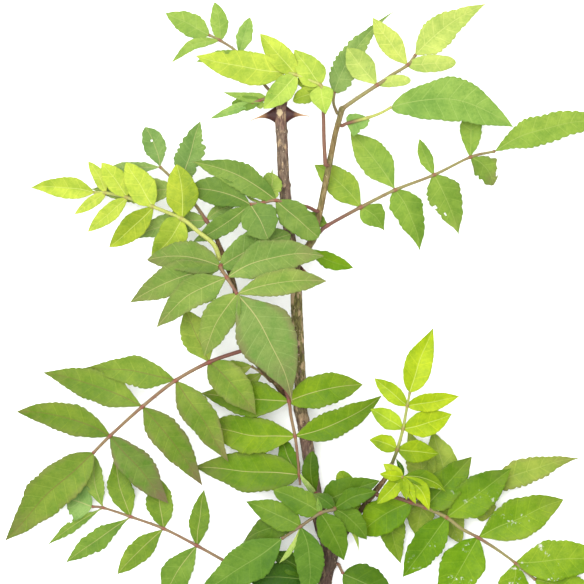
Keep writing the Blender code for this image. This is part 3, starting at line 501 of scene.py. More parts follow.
        row(2, 51.0, -126.7, 34.0, 10.0, belly=0.42, taper=0.9, youth=-0.2, ragged=0.6),
        row(2, 74.2, -126.9, 34.0, 6.5, youth=-0.1, ragged=0.6),
        row(2, 82.2, -131.0, 31.0, 10.5, 0.13, ragged=0.4, youth=-0.1),
        row(2, 92.1, -119.6, 30.0, 10.0, 0.13, ragged=0.4, youth=-0.5),
        row(2, 58.6, -113.4, 34.0, 4.6, ragged=0.6, youth=-0.35),
        row(2, 68.5, -124.3, 34.5, 5.8, belly=0.42, taper=1.0, ragged=0.4, youth=-0.3),
        row(2, 62.3, -99.8, 33.5, 3.4, -0.05, ragged=0.4, youth=-0.95),
    )),
    LeafPlan("leaf_lower_right_large", Tone.BRIGHT, Stalk.OCHRE, Rib.GREEN, (
        (52.0, -122.4, 20.4), (55.0, -122.5, 21.0), (62.6, -123.6, 22.0), (71.5, -126.5, 22.0),
        (80.0, -129.5, 22.0), (93.0, -135.7, 21.0), (101.9, -142.4, 20.0), (112.2, -148.0, 18.0),
        (124.3, -155.8, 15.0), (134.9, -163.7, 12.0), (147.2, -174.1, 9.0),
    ), (1.3, 0.8), (
        row(3, 41.4, -145.8, 14.0, 22.0, -0.06, belly=0.52, taper=0.85, root=0.55),
        row(4, 108.4, -99.2, 19.0, 21.7, belly=0.28, taper=1.0, root=0.55, youth=-0.1, cool=-0.2,
            purple=0.25),
        row(5, 132.2, -106.3, 18.0, 24.0, root=1.1, purple=0.25),
        row(5, 66.8, -172.6, 11.0, 19.4, belly=0.44, root=0.55, youth=-0.15),
        row(7, 164.2, -125.4, 12.0, 24.7, 0.02, belly=0.44, taper=1.0, root=1.1, purple=0.25,
            youth=0.1),
        row(7, 90.0, -188.0, 7.0, 26.3, taper=1.05, youth=0.15, cool=0.1),
        row(9, 192.0, -160.0, 6.0, 24.8, belly=0.38, taper=1.0, root=0.95, youth=0.2),
        row(9, 129.0, -190.0, 4.0, 18.6, 0.08, belly=0.48, taper=1.3, root=1.1, youth=0.3),
        row(10, 188.0, -184.0, 2.5, 18.5, root=0.55, youth=0.2),
    )),
    LeafPlan("leaf_lower_right_hidden", Tone.OLIVE, Stalk.OCHRE, Rib.GREEN, (
        (45.2, -129.0, 14.6), (60.0, -127.0, 13.0), (80.0, -124.0, 11.0), (96.0, -121.0, 10.0),
        (112.0, -119.5, 10.0), (118.0, -119.0, 10.0),
    ), (1.1, 0.8), (
        row(5, 175.4, -100.6, 5.0, 16.8, 0.052, belly=0.34, taper=1.52, root=0.95, purple=0.5,
            ragged=1.8, youth=0.4),
        row(4, 115.6, -139.0, 7.0, 15.5, 0.10, belly=0.44, taper=0.7, youth=0.6),
        row(3, 85.0, -83.9, 9.0, 18.9, belly=0.44, youth=0.42),
        row(3, 102.0, -151.8, 6.0, 14.4, -0.08, belly=0.44, taper=0.7, youth=0.5),
        row(2, 69.6, -82.8, 9.0, 18.3, -0.06, taper=1.45, youth=0.5),
        row(2, 74.4, -146.6, 6.0, 17.3, 0.02, belly=0.44, taper=1.0, youth=0.4),
        row(1, 65.9, -164.8, 4.0, 16.2, -0.05, belly=0.34, youth=0.1),
    )),
    LeafPlan("leaf_base_left", Tone.DEEP, Stalk.OCHRE, Rib.GREEN, (
        (15.4, -165.5, 9.0), (10.0, -170.0, 10.0), (8.0, -174.0, 10.0),
    ), (1.0, 0.8), (
        row(2, -26.2, -173.3, 12.5, 17.9, -0.04, belly=0.44, taper=0.7, youth=-0.82),
        row(1, -10.6, -157.8, 12.0, 13.7, taper=0.7, youth=-0.45),
    )),
    LeafPlan("leaf_base_right", Tone.DEEP, Stalk.RED, Rib.GREEN, (
        (28.4, -165.2, 5.0), (29.6, -168.0, 5.5), (31.0, -170.8, 6.0),
    ), (1.0, 0.8), (
        row(2, 66.0, -187.0, 3.0, 23.4, 0.01, belly=0.32, taper=1.45, root=0.55, youth=-0.3),
    )),
    LeafPlan("leaf_bottom_left", Tone.MOSS, Stalk.RED, Rib.PINK, (
        (15.2, -182.6, 4.5), (-5.0, -180.0, 6.0), (-25.0, -172.0, 6.8), (-42.2, -162.1, 8.0),
        (-57.5, -153.5, 9.0), (-77.6, -143.2, 9.5), (-97.5, -136.0, 9.5), (-114.2, -130.6, 9.0),
        (-121.1, -129.9, 9.0),
    ), (1.2, 0.7), (
        row(8, -136.7, -124.9, 6.5, 21.1, -0.02, belly=0.46, taper=1.0, root=0.55, ragged=2.0,
            youth=0.35, cool=0.7),
        row(7, -119.4, -99.1, 7.0, 11.5, 0.08, belly=0.48, taper=0.85, root=1.4, youth=0.2,
            cool=0.2),
        row(7, -148.8, -154.0, 3.0, 7.1, -0.03, belly=0.50, taper=1.45, root=1.6, ragged=1.6,
            bites=((0.5, -0.9, 1.2),), youth=0.1, cool=0.2),
        row(6, -107.5, -98.6, 6.0, 15.5, 0.04, belly=0.44, taper=1.45, root=0.95),
        row(6, -137.4, -164.2, 3.0, 13.0, -0.01, belly=0.52, taper=1.22, root=1.57, ragged=1.3,
            cool=0.2),
        row(5, -81.1, -112.1, 6.0, 16.6, 0.02, belly=0.48, taper=1.0, root=0.88),
        row(5, -106.1, -171.2, 3.0, 14.0, -0.02, belly=0.46, taper=1.0, root=1.28),
        row(4, -53.1, -119.2, 5.0, 12.3, 0.02, belly=0.44, taper=1.3, youth=-0.1),
        row(4, -77.0, -184.0, 3.0, 18.2, -0.04, belly=0.58, taper=0.85, root=1.1, cool=0.2),
    )),
)

STEM_POINTS = (
    (19.0, -191.0, 3.85, 4.0), (20.5, -172.0, 5.0, 4.1), (23.0, -160.0, 6.6, 4.8),
    (21.0, -150.0, 8.0, 4.4), (17.5, -140.0, 9.3, 4.3), (12.0, -110.0, 13.2, 4.0),
    (7.0, -80.0, 16.8, 3.8), (5.0, -70.0, 18.0, 4.1), (5.2, -60.0, 19.0, 3.5),
    (3.2, -20.0, 23.6, 3.6), (2.4, 2.0, 26.0, 3.5), (1.6, 12.0, 27.0, 4.0),
    (1.2, 20.0, 27.8, 3.5), (-1.6, 35.0, 29.2, 3.4), (-4.0, 58.0, 31.0, 3.4),
    (-5.1, 70.0, 32.0, 3.5), (-5.9, 90.0, 33.4, 3.4), (-6.6, 102.0, 34.0, 3.5),
    (-6.4, 109.0, 34.3, 3.3), (-4.6, 114.0, 34.6, 1.9), (-4.6, 121.0, 35.0, 1.8),
    (-5.0, 128.0, 35.3, 1.5),
)
KNOB_POINTS = ((-7.4, 109.0, 35.2, 1.9), (-7.3, 111.4, 35.8, 2.3), (-6.9, 113.6, 36.4, 1.6))
SCAR_CENTRE = (-7.4, 107.6)
SCAR_RADIUS = 2.2
SCAR_TOP = 37.9
SCAR_BASE = 36.5
TOP_NODE_AXIS = (-6.5, 34.2)
TOP_NODE_RADIUS = 3.75
STUB_POINTS = ((-5.0, 126.5, 35.2, 0.9), (-8.0, 127.0, 35.2, 0.8), (-11.3, 122.5, 35.0, 0.6))
RIGHT_BRANCH_POINTS = (
    (6.4, 21.6, 30.6, 2.2), (9.0, 26.0, 30.8, 2.3), (13.0, 33.0, 31.2, 2.2),
    (15.0, 42.0, 32.0, 2.1), (17.0, 50.0, 33.0, 2.0), (20.0, 65.0, 34.6, 1.9),
    (23.0, 80.0, 35.5, 1.8), (26.0, 95.0, 36.0, 1.7), (28.5, 104.0, 36.2, 1.7),
    (29.6, 108.6, 36.4, 1.9), (30.2, 109.9, 36.7, 1.9), (30.6, 111.0, 37.0, 1.0),
)
LEFT_BRANCH_POINTS = (
    (0.6, -64.6, 20.0, 1.8), (-5.0, -61.0, 21.5, 2.0), (-10.0, -54.0, 24.0, 2.1),
    (-17.0, -47.0, 27.0, 2.0), (-22.0, -41.0, 29.5, 1.8), (-24.5, -34.5, 31.5, 1.6),
    (-32.5, -12.0, 38.0, 1.4), (-33.5, -3.0, 40.5, 1.6), (-34.5, 4.0, 42.5, 1.6),
    (-38.0, 14.0, 44.5, 1.6), (-41.0, 22.0, 44.8, 1.6), (-43.5, 28.0, 44.2, 1.4),
    (-46.6, 35.8, 42.0, 1.2),
)
RIGHT_BRANCH_BLADES = (
    row(1, 36.9, 14.6, 26.0, 9.8, -0.05, belly=0.52, taper=1.0, root=1.1, youth=0.1),
)
LOWER_RIGHT_BRANCH_BLADES = (
    row(2, 28.7, -107.8, 18.0, 10.7, 0.0, 0.0, 0.10, belly=0.65, taper=0.5, root=0.62,
        youth=0.35),
)
LOWER_RIGHT_BRANCH_POINTS = (
    (28.0, -153.0, 8.8, 1.7), (33.0, -145.0, 11.0, 1.7), (41.0, -132.5, 15.5, 1.6),
    (49.0, -121.5, 20.0, 1.8), (56.0, -112.0, 24.6, 1.5), (60.0, -103.2, 27.2, 1.5),
)
SHOOT_PATHS = (STEM_POINTS, RIGHT_BRANCH_POINTS, LEFT_BRANCH_POINTS, LOWER_RIGHT_BRANCH_POINTS)


@dataclass(frozen=True)
class Thorn:
    """A flat thorn with a broad foot.

    Attributes:
        foot: layout point of the middle of its foot.
        base_length: length of the foot along the stem.
        thickness: thickness of the foot.
        tip: layout point of the tip.
        curve: bend of its middle towards the stem's tip.
    """

    foot: Point
    base_length: float
    thickness: float
    tip: Point
    curve: float


THORN_TAPER = 2.6
THORN_POINT = 0.035
TAN_FROM = 0.38
TAN_RATE = 2.6
THORNS = (
    Thorn((-7.6, 106.0, 34.0), 14.0, 3.6, (-25.0, 102.3, 36.0), 1.2),
    Thorn((-5.2, 106.0, 34.2), 14.0, 3.6, (10.3, 105.0, 36.5), 0.6),
    Thorn((2.6, 15.0, 27.4), 10.0, 3.0, (11.6, 9.8, 28.5), 0.6),
)


def place(points: np.ndarray) -> np.ndarray:
    """Turn layout millimetres into world metres.

    Args:
        points: array whose last axis is x, y, z.

    Returns:
        World points.
    """
    return (np.asarray(points, dtype=float) - np.array([*SPRIG_CENTRE, 0.0])) * MM


def ring_angles(sides: int) -> np.ndarray:
    """Return the angles of a ring's vertices."""
    return np.arange(sides) * 2.0 * math.pi / sides


def smooth_path(points: np.ndarray, step: float) -> np.ndarray:
    """Pass a Catmull-Rom curve through points of any dimension.

    Args:
        points: control points, one a row.
        step: distance between samples in millimetres.

    Returns:
        The sampled rows.
    """
    points = np.asarray(points, dtype=float)
    padded = np.vstack([2 * points[0] - points[1], points, 2 * points[-1] - points[-2]])
    rows = []
    for index in range(len(points) - 1):
        before, start, end, after = padded[index:index + 4]
        count = max(2, int(np.linalg.norm((end - start)[:3]) / step))
        for share in np.arange(count) / count:
            rows.append(0.5 * (2 * start + (end - before) * share
                               + (2 * before - 5 * start + 4 * end - after) * share ** 2
                               + (3 * start - before - 3 * end + after) * share ** 3))
    rows.append(points[-1])
    return np.array(rows)


@dataclass
class MeshDraft:
    """Collects vertices, faces and per-vertex values before they become one mesh.

    Attributes:
        vertices: blocks of world points.
        faces: lists of vertex indices.
        finishes: material index of each face.
        coordinates: blocks of (u, v) per vertex.
        veins: blocks of (vein phase, distance from the midrib) per vertex.
        states: blocks of four values per vertex.
        count: number of vertices so far.
    """

    vertices: list[np.ndarray] = field(default_factory=list)
    faces: list[list[int]] = field(default_factory=list)
    finishes: list[int] = field(default_factory=list)
    coordinates: list[np.ndarray] = field(default_factory=list)
    veins: list[np.ndarray] = field(default_factory=list)
    states: list[np.ndarray] = field(default_factory=list)
    count: int = 0

    def add_grid(self, grid: np.ndarray, uv: np.ndarray, veins: np.ndarray, state: np.ndarray,
                 finish: int = 0, closed: bool = False, keep: np.ndarray | None = None) -> None:
        """Add a grid of points as quads.

        Args:
            grid: world points, rows by columns by 3.
            uv: coordinates, rows by columns by 2.
            veins: vein coordinates, rows by columns by 2.
            state: values, rows by columns by 4.
            finish: material index.
            closed: whether the columns close into a ring.
            keep: mask of the cells that stay, or None for all.
        """
        rows, columns = grid.shape[:2]
        start = self.count
        self.vertices.append(grid.reshape(-1, 3))
        self.coordinates.append(uv.reshape(-1, 2))
        self.veins.append(veins.reshape(-1, 2))
        self.states.append(state.reshape(-1, 4))
        self.count += rows * columns
        for i in range(rows - 1):
            for j in range(columns if closed else columns - 1):
                if keep is not None and not keep[i, j]:
                    continue
                after = (j + 1) % columns
                near, far = start + i * columns, start + (i + 1) * columns
                self.faces.append([near + j, near + after, far + after, far + j])
                self.finishes.append(finish)

    def add_tube(self, path: np.ndarray, sides: int, state: np.ndarray, finish: int = 0,
                 cap_finish: int | None = None,
                 ripple: Callable[[float, float, np.ndarray], float] | None = None) -> None:
        """Add a closed tube along a path.

        Args:
            path: rows of x, y, z and radius in layout millimetres.
            sides: number of sides.
            state: four values for the whole tube, or a row of four for each ring; the second
            is replaced by how far a vertex faces up, which the stalk and bark finishes turn
            into painted shade on the sides that face away from up.
            finish: material index of its side.
            cap_finish: material index of its ends, or None for the side's.
            ripple: function of (arc, angle, point) that returns a change of radius.
        """
        centres = path[:, :3]
        tangents = np.gradient(centres, axis=0)
        tangents /= np.linalg.norm(tangents, axis=1)[:, None]
        up = np.array([0.0, 0.0, 1.0])
        across = np.cross(tangents, up)
        across /= np.linalg.norm(across, axis=1)[:, None]
        lift = np.cross(across, tangents)
        arcs = np.concatenate([[0.0], np.cumsum(np.linalg.norm(np.diff(centres, axis=0), axis=1))])
        angles = ring_angles(sides)
        grid = np.zeros((len(path), sides, 3))
        rings = np.broadcast_to(state, (len(path), 4))
        states = np.repeat(rings[:, None, :], sides, axis=1).astype(float)
        for i, centre in enumerate(centres):
            for j, angle in enumerate(angles):
                outward = across[i] * math.cos(angle) + lift[i] * math.sin(angle)
                # How far the vertex faces up; the stalk and bark finishes darken low values as
                # painted shade
                states[i, j, 1] = 0.5 + 0.5 * outward[2]
                radius = path[i, 3]
                if ripple is not None:
                    radius += ripple(arcs[i], angle, centre + outward * radius)
                grid[i, j] = centre + outward * radius
        uv = np.stack(np.meshgrid(arcs / max(arcs[-1], 1.0), angles / (2 * math.pi),
                                  indexing="ij"), axis=-1)
        start = self.count
        self.add_grid(place(grid)[:, ::-1], uv, np.zeros_like(uv), states[:, ::-1], finish,
                      closed=True)
        cap = finish if cap_finish is None else cap_finish
        self.add_cap(start, sides, place(centres[0]), rings[0], cap, False)
        self.add_cap(start + (len(path) - 1) * sides, sides, place(centres[-1]), rings[-1], cap,
                     True)

    def add_cap(self, start: int, sides: int, centre: np.ndarray, state: np.ndarray, finish: int,
                last: bool) -> None:
        """Close one end of a tube with a fan.

        Args:
            start: index of the ring's first vertex.
            sides: number of vertices in the ring.
            centre: world point of the middle.
            state: four values for the middle.
            finish: material index.
            last: whether it is the far end.
        """
        self.vertices.append(np.array([centre]))
        self.coordinates.append(np.zeros((1, 2)))
        self.veins.append(np.zeros((1, 2)))
        self.states.append(np.array([state], dtype=float))
        middle = self.count
        self.count += 1
        for j in range(sides):
            ring = (start + j, start + (j + 1) % sides)
            self.faces.append([ring[0], ring[1], middle] if last else [ring[1], ring[0], middle])
            self.finishes.append(finish)

    def make_object(self, name: str, materials: list[bpy.types.Material]) -> bpy.types.Object:
        """Make the mesh object.

        Args:
            name: the object's name.
            materials: its materials in the order of the finish indices.

        Returns:
            The object, linked to the scene.
        """
        vertices = np.vstack(self.vertices)
        mesh = bpy.data.meshes.new(name)
        mesh.from_pydata(vertices.tolist(), [], self.faces)
        for material in materials:
            mesh.materials.append(material)
        mesh.polygons.foreach_set("material_index", self.finishes)
        corners = np.zeros(len(mesh.loops), dtype=int)
        mesh.loops.foreach_get("vertex_index", corners)
        for layer_name, blocks in (("UVMap", self.coordinates), ("Veins", self.veins)):
            layer = mesh.uv_layers.new(name=layer_name)
            layer.data.foreach_set("uv", np.vstack(blocks)[corners].ravel())
        attribute = mesh.attributes.new("state", "FLOAT_COLOR", "POINT")
        attribute.data.foreach_set("color", np.vstack(self.states).ravel())
        mesh.polygons.foreach_set("use_smooth", [True] * len(mesh.polygons))
        mesh.update()
        made = bpy.data.objects.new(name, mesh)
        bpy.context.scene.collection.objects.link(made)
        return made


class Shader:
    """Builds one Principled BSDF material node by node, from Object coordinates."""

    def __init__(self, name: str) -> None:
        """Start an empty material with its shader, output and coordinates."""
        self.material = bpy.data.materials.new(name)
        self.material.use_nodes = True
        self.tree = self.material.node_tree
        self.bsdf = self.tree.nodes["Principled BSDF"]
        self.where = self.node("ShaderNodeTexCoord").outputs["Object"]

    def node(self, kind: str, **settings: object) -> bpy.types.Node:
        """Add a node and set its properties.

        Args:
            kind: the node's type.
            **settings: properties of the node.

        Returns:
            The node.
        """
        made = self.tree.nodes.new(kind)
        for key, value in settings.items():
            setattr(made, key, value)
        return made

    @staticmethod
    def whole(value: Socket | float | Colour) -> Socket | float | Ring:
        """Return a colour with its fourth value, and anything else as it is."""
        return (*value, 1.0) if isinstance(value, tuple) else value

    def feed(self, value: Socket | float | Ring, target: Socket) -> None:
        """Link a socket or set a plain value.

        Args:
            value: a socket or a value.
            target: the input that it goes to.
        """
        if isinstance(value, bpy.types.NodeSocket):
            self.tree.links.new(value, target)
        else:
            target.default_value = value

    def math(self, operation: str, first: Socket | float, second: Socket | float = 0.0,
             clamp: bool = False) -> Socket:
        """Combine two values.

        Args:
            operation: the node's operation.
            first: a socket or a value.
            second: a socket or a value.
            clamp: whether the result is kept in 0 to 1.

        Returns:
            The result's socket.
        """
        made = self.node("ShaderNodeMath", operation=operation, use_clamp=clamp)
        self.feed(first, made.inputs[0])
        self.feed(second, made.inputs[1])
        return made.outputs[0]

    def times(self, first: Socket | float, second: Socket | float,
              clamp: bool = False) -> Socket:
        """Multiply two values."""
        return self.math("MULTIPLY", first, second, clamp)

    def plus(self, first: Socket | float, second: Socket | float,
             clamp: bool = False) -> Socket:
        """Add two values."""
        return self.math("ADD", first, second, clamp)

    def minus(self, first: Socket | float, second: Socket | float) -> Socket:
        """Subtract the second value from the first."""
        return self.math("SUBTRACT", first, second)

    def larger(self, first: Socket | float, second: Socket | float) -> Socket:
        """Return the larger of two values."""
        return self.math("MAXIMUM", first, second)

    def mix(self, factor: Socket | float, first: Socket | Colour, second: Socket | Colour,
            blend: str = "MIX") -> Socket:
        """Mix two colours.

        Args:
            factor: share of the second.
            first: a socket or a colour.
            second: a socket or a colour.
            blend: the way that they are mixed.

        Returns:
            The colour's socket.
        """
        made = self.node("ShaderNodeMix", data_type="RGBA", blend_type=blend)
        self.feed(factor, made.inputs["Factor"])
        self.feed(self.whole(first), made.inputs[6])
        self.feed(self.whole(second), made.inputs[7])
        return made.outputs[2]

    def tinted(self, colour: Socket | Colour, tint: Colour) -> Socket:
        """Multiply a colour by a tint."""
        return self.mix(1.0, colour, tint, "MULTIPLY")

    def noise(self, vector: Socket, scale: float, detail: float = 3.0,
              roughness: float = 0.55) -> Socket:
        """Add a noise texture.

        Args:
            vector: its coordinate.
            scale: its scale.
            detail: its octaves.
            roughness: strength of the finer octaves.

        Returns:
            Its value's socket.
        """
        made = self.node("ShaderNodeTexNoise")
        for title, value in (("Vector", vector), ("Scale", scale), ("Detail", detail),
                             ("Roughness", roughness)):
            self.feed(value, made.inputs[title])
        return made.outputs[0]

    def window(self, value: Socket, low: float, high: float) -> Socket:
        """Map a value to 0 below low and to 1 above high.

        Args:
            value: the value.
            low: where the rise starts.
            high: where it ends.

        Returns:
            The mask's socket.
        """
        made = self.node("ShaderNodeMapRange", interpolation_type="SMOOTHSTEP")
        for socket, given in zip(made.inputs, (value, low, high)):
            self.feed(given, socket)
        return made.outputs[0]

    def below(self, value: Socket, low: float, high: float) -> Socket:
        """Map a value to 1 below low and to 0 above high."""
        return self.minus(1.0, self.window(value, low, high))

    def parts(self, vector: Socket) -> tuple[Socket, ...]:
        """Split a vector.

        Args:
            vector: the vector.

        Returns:
            The sockets of its three parts.
        """
        split = self.node("ShaderNodeSeparateXYZ")
        self.feed(vector, split.inputs[0])
        return tuple(split.outputs)

    def uv(self, layer: str) -> tuple[Socket, ...]:
        """Return the two parts of a UV map."""
        return self.parts(self.node("ShaderNodeUVMap", uv_map=layer).outputs[0])[:2]

    def state(self) -> tuple[Socket, ...]:
        """Read the state attribute.

        Returns:
            Its colour, red, green, blue and alpha.
        """
        source = self.node("ShaderNodeAttribute", attribute_name="state")
        split = self.node("ShaderNodeSeparateColor")
        self.feed(source.outputs["Color"], split.inputs[0])
        return (source.outputs["Color"], *split.outputs, source.outputs["Alpha"])

    def stretched(self, share: float) -> Socket:
        """Scale the coordinate along the shoot, so that a texture runs along it.

        Args:
            share: the scale along the shoot.

        Returns:
            The coordinate's socket.
        """
        made = self.node("ShaderNodeMapping")
        self.feed(self.where, made.inputs["Vector"])
        made.inputs["Scale"].default_value = (1.0, share, 1.0)
        return made.outputs[0]

    def finished(self, colour: Socket, roughness: Socket | float, gloss: float, height: Socket,
                 distance: float, strength: float) -> bpy.types.Material:
        """Connect the shader.

        Args:
            colour: base colour.
            roughness: a socket or a value.
            gloss: specular level.
            height: height of the bump.
            distance: size of the bump in metres.
            strength: strength of the bump.

        Returns:
            The finished material.
        """
        made = self.node("ShaderNodeBump")
        self.feed(height, made.inputs["Height"])
        self.feed(distance, made.inputs["Distance"])
        self.feed(strength, made.inputs["Strength"])
        for title, value in (("Base Color", colour), ("Roughness", roughness),
                             ("Specular IOR Level", gloss), ("Normal", made.outputs[0])):
            self.feed(value, self.bsdf.inputs[title])
        return self.material


@dataclass(frozen=True)
class BladeFinish:
    """The finish of a leaflet's face.

    Attributes:
        name: material name.
        underside: whether it is the paler lower face.
        roughness: mean roughness.
        rib: colour of the midrib.
        pale: share of the pale vein colour in the midrib.
    """

    name: str
    underside: bool
    roughness: float
    rib: Colour
    pale: float

    PATCH_SCALE, FINE_SCALE, NET_SCALE, SPECK_SCALE = 110.0, 620.0, 640.0, 700.0
    NET, SIDE_VEIN, MIDRIB = 0.08, 0.55, 0.88
    DARK = (0.66, 0.78, 0.70)
    LIGHT = (1.19, 1.14, 1.22)
    VEIN = (1.50, 1.32, 1.8)
    BLUSH = (0.098, 0.062, 0.040)
    SPECK = (0.04, 0.032, 0.012)
    DUST = (0.33, 0.33, 0.29)
    BELOW = (0.13, 0.185, 0.078)

    def make(self) -> bpy.types.Material:
        """Make the material.

        Returns:
            The leaf material.
        """
        shader = Shader(self.name)
        base, *_, purple = shader.state()
        along, across = shader.uv("UVMap")
        phase, distance = shader.uv("Veins")
        patches = shader.noise(shader.where, self.PATCH_SCALE, 5.0, 0.6)
        fine = shader.noise(shader.where, self.FINE_SCALE, 4.0, 0.65)
        tint = shader.plus(shader.times(patches, 0.62), shader.times(fine, 0.38))
        colour = shader.mix(shader.window(tint, 0.30, 0.70), shader.tinted(base, self.DARK),
                            shader.tinted(base, self.LIGHT))
        blush = self.blush(shader, along, across, purple, patches)
        colour = shader.mix(shader.times(blush, 0.8), colour, self.BLUSH)
        net = shader.node("ShaderNodeTexVoronoi", feature="DISTANCE_TO_EDGE")
        shader.feed(shader.where, net.inputs["Vector"])
        shader.feed(self.NET_SCALE, net.inputs["Scale"])
        net_lines = shader.below(net.outputs[0], 0.02, 0.16)
        lateral = shader.math("FRACT", shader.plus(phase, 0.5))
        lateral = shader.math("ABSOLUTE", shader.minus(lateral, 0.5))
        lateral = shader.times(shader.below(lateral, 0.012, 0.045),
                               shader.window(patches, 0.30, 0.48))
        reach = shader.minus(1.0, shader.times(along, 0.6))
        midrib = shader.below(shader.math("DIVIDE", distance, reach), 0.010, 0.030)
        vein = shader.tinted(base, self.VEIN)
        rib = shader.mix(self.pale, self.rib, vein)
        for mask, strength, shade in ((net_lines, self.NET, vein), (lateral, self.SIDE_VEIN, vein),
                                      (midrib, self.MIDRIB, rib)):
            colour = shader.mix(shader.times(mask, strength), colour, shade)
        specks = shader.noise(shader.where, self.SPECK_SCALE, 2.0)
        specks = shader.window(specks, 0.735, 0.77)
        colour = shader.mix(shader.times(specks, 0.45), colour, self.SPECK)
        colour = shader.mix(self.dust(shader), colour, self.DUST)
        if self.underside:
            colour = shader.mix(0.45, colour, self.BELOW)
        rough = shader.times(shader.minus(fine, 0.5), 0.25)
        height = shader.plus(shader.times(lateral, -0.5), shader.times(net_lines, -0.25))
        height = shader.plus(height, shader.times(fine, 0.6))
        return shader.finished(colour, shader.plus(self.roughness, rough, clamp=True), 0.06,
                               height, 0.0004, 0.5)

    @staticmethod
    def blush(shader: Shader, along: Socket, across: Socket, purple: Socket,
              patches: Socket) -> Socket:
        """Return the mask of the purple brown at the edges and the tip.

        Args:
            shader: the material in the making.
            along: share of the length.
            across: share of the width.
            purple: strength of the blush.
            patches: broad noise.

        Returns:
            The mask's socket.
        """
        edge = shader.window(shader.math("ABSOLUTE", shader.minus(across, 0.5)), 0.25, 0.52)
        mask = shader.larger(edge, shader.plus(0.22, shader.window(along, 0.55, 0.95)))
        mask = shader.times(mask, shader.window(patches, 0.28, 0.58))
        onset = shader.minus(1.06, shader.times(purple, 0.42))
        return shader.larger(shader.times(mask, purple, clamp=True),
                             shader.times(shader.minus(along, onset), 4.5, clamp=True))

    @staticmethod
    def dust(shader: Shader) -> Socket:
        """Return the mask of the white flecks, which lie on the lower right leaves alone.

        Args:
            shader: the material in the making.

        Returns:
            The mask's socket.
        """
        x, y, _ = shader.parts(shader.where)
        zone = shader.times(shader.window(x, 0.045, 0.085), shader.below(y, -0.13, -0.10))
        flecks = shader.window(shader.noise(shader.where, 300.0, 5.0, 0.7), 0.57, 0.64)
        groups = shader.window(shader.noise(shader.where, 75.0, 1.0), 0.54, 0.62)
        return shader.times(shader.times(flecks, groups), zone)


@dataclass(frozen=True)
class StalkFinish:
    """The finish of a rachis or of a green shoot, with painted shade on the sides that face away
    from up.

    Attributes:
        name: material name.
        green: main colour.
        flush: colour of its flushed stretches.
        share: how much of it is flushed, from 0 to 1.
        joint: strength of the red joints.
        foot: colour near the foot.
    """

    name: str
    green: Colour
    flush: Colour
    share: float
    joint: float
    foot: Colour

    GRAIN = (0.14, 0.10, 0.05)
    # Tint of the painted shade on the sides that face away from up
    SIDE = (0.62, 0.55, 0.50)
    JOINT = (0.25, 0.070, 0.048)

    def make(self) -> bpy.types.Material:
        """Make the material.

        Returns:
            The stalk material.
        """
        shader = Shader(self.name)
        _, joint, facing, foot, _ = shader.state()
        broad = shader.noise(shader.where, 70.0, 3.0)
        fine = shader.noise(shader.where, 900.0, 3.0)
        flushed = shader.window(broad, 0.75 - 0.6 * self.share, 0.95 - 0.5 * self.share)
        colour = shader.mix(flushed, self.green, self.flush)
        colour = shader.mix(shader.times(shader.window(fine, 0.45, 0.75), 0.4), colour, self.GRAIN)
        colour = shader.mix(shader.times(foot, shader.window(broad, 0.10, 0.38)), colour, self.foot)
        # Painted shade: the sides that face down or sideways are darkened as if in shadow
        colour = shader.mix(shader.window(facing, 0.30, 0.85), shader.tinted(colour, self.SIDE),
                            colour)
        colour = shader.mix(shader.times(shader.window(joint, 0.30, 0.95), self.joint), colour,
                            self.JOINT)
        return shader.finished(shader.tinted(colour, SHADE), 0.5, 0.2, fine, 0.0002, 0.4)


STALKS = {
    Stalk.GREEN: StalkFinish("stalk_green", (0.32, 0.37, 0.07), (0.27, 0.22, 0.06), 0.25, 0.45,
                             (0.120, 0.130, 0.030)),
    Stalk.OCHRE: StalkFinish("stalk_ochre", (0.26, 0.23, 0.08), (0.22, 0.13, 0.070), 0.45, 0.70,
                             (0.170, 0.075, 0.050)),
    Stalk.RED: StalkFinish("stalk_red", (0.24, 0.155, 0.075), (0.20, 0.085, 0.055), 0.55, 0.85,
                           (0.180, 0.065, 0.045)),
    Stalk.BROWN: StalkFinish("stalk_brown", (0.190, 0.165, 0.070), (0.150, 0.090, 0.052), 0.50,
                             0.45, (0.110, 0.050, 0.034)),
    Stalk.FRESH: StalkFinish("stalk_fresh", (0.43, 0.47, 0.10), (0.31, 0.26, 0.08), 0.30, 0.30,
                             (0.200, 0.090, 0.055)),
}


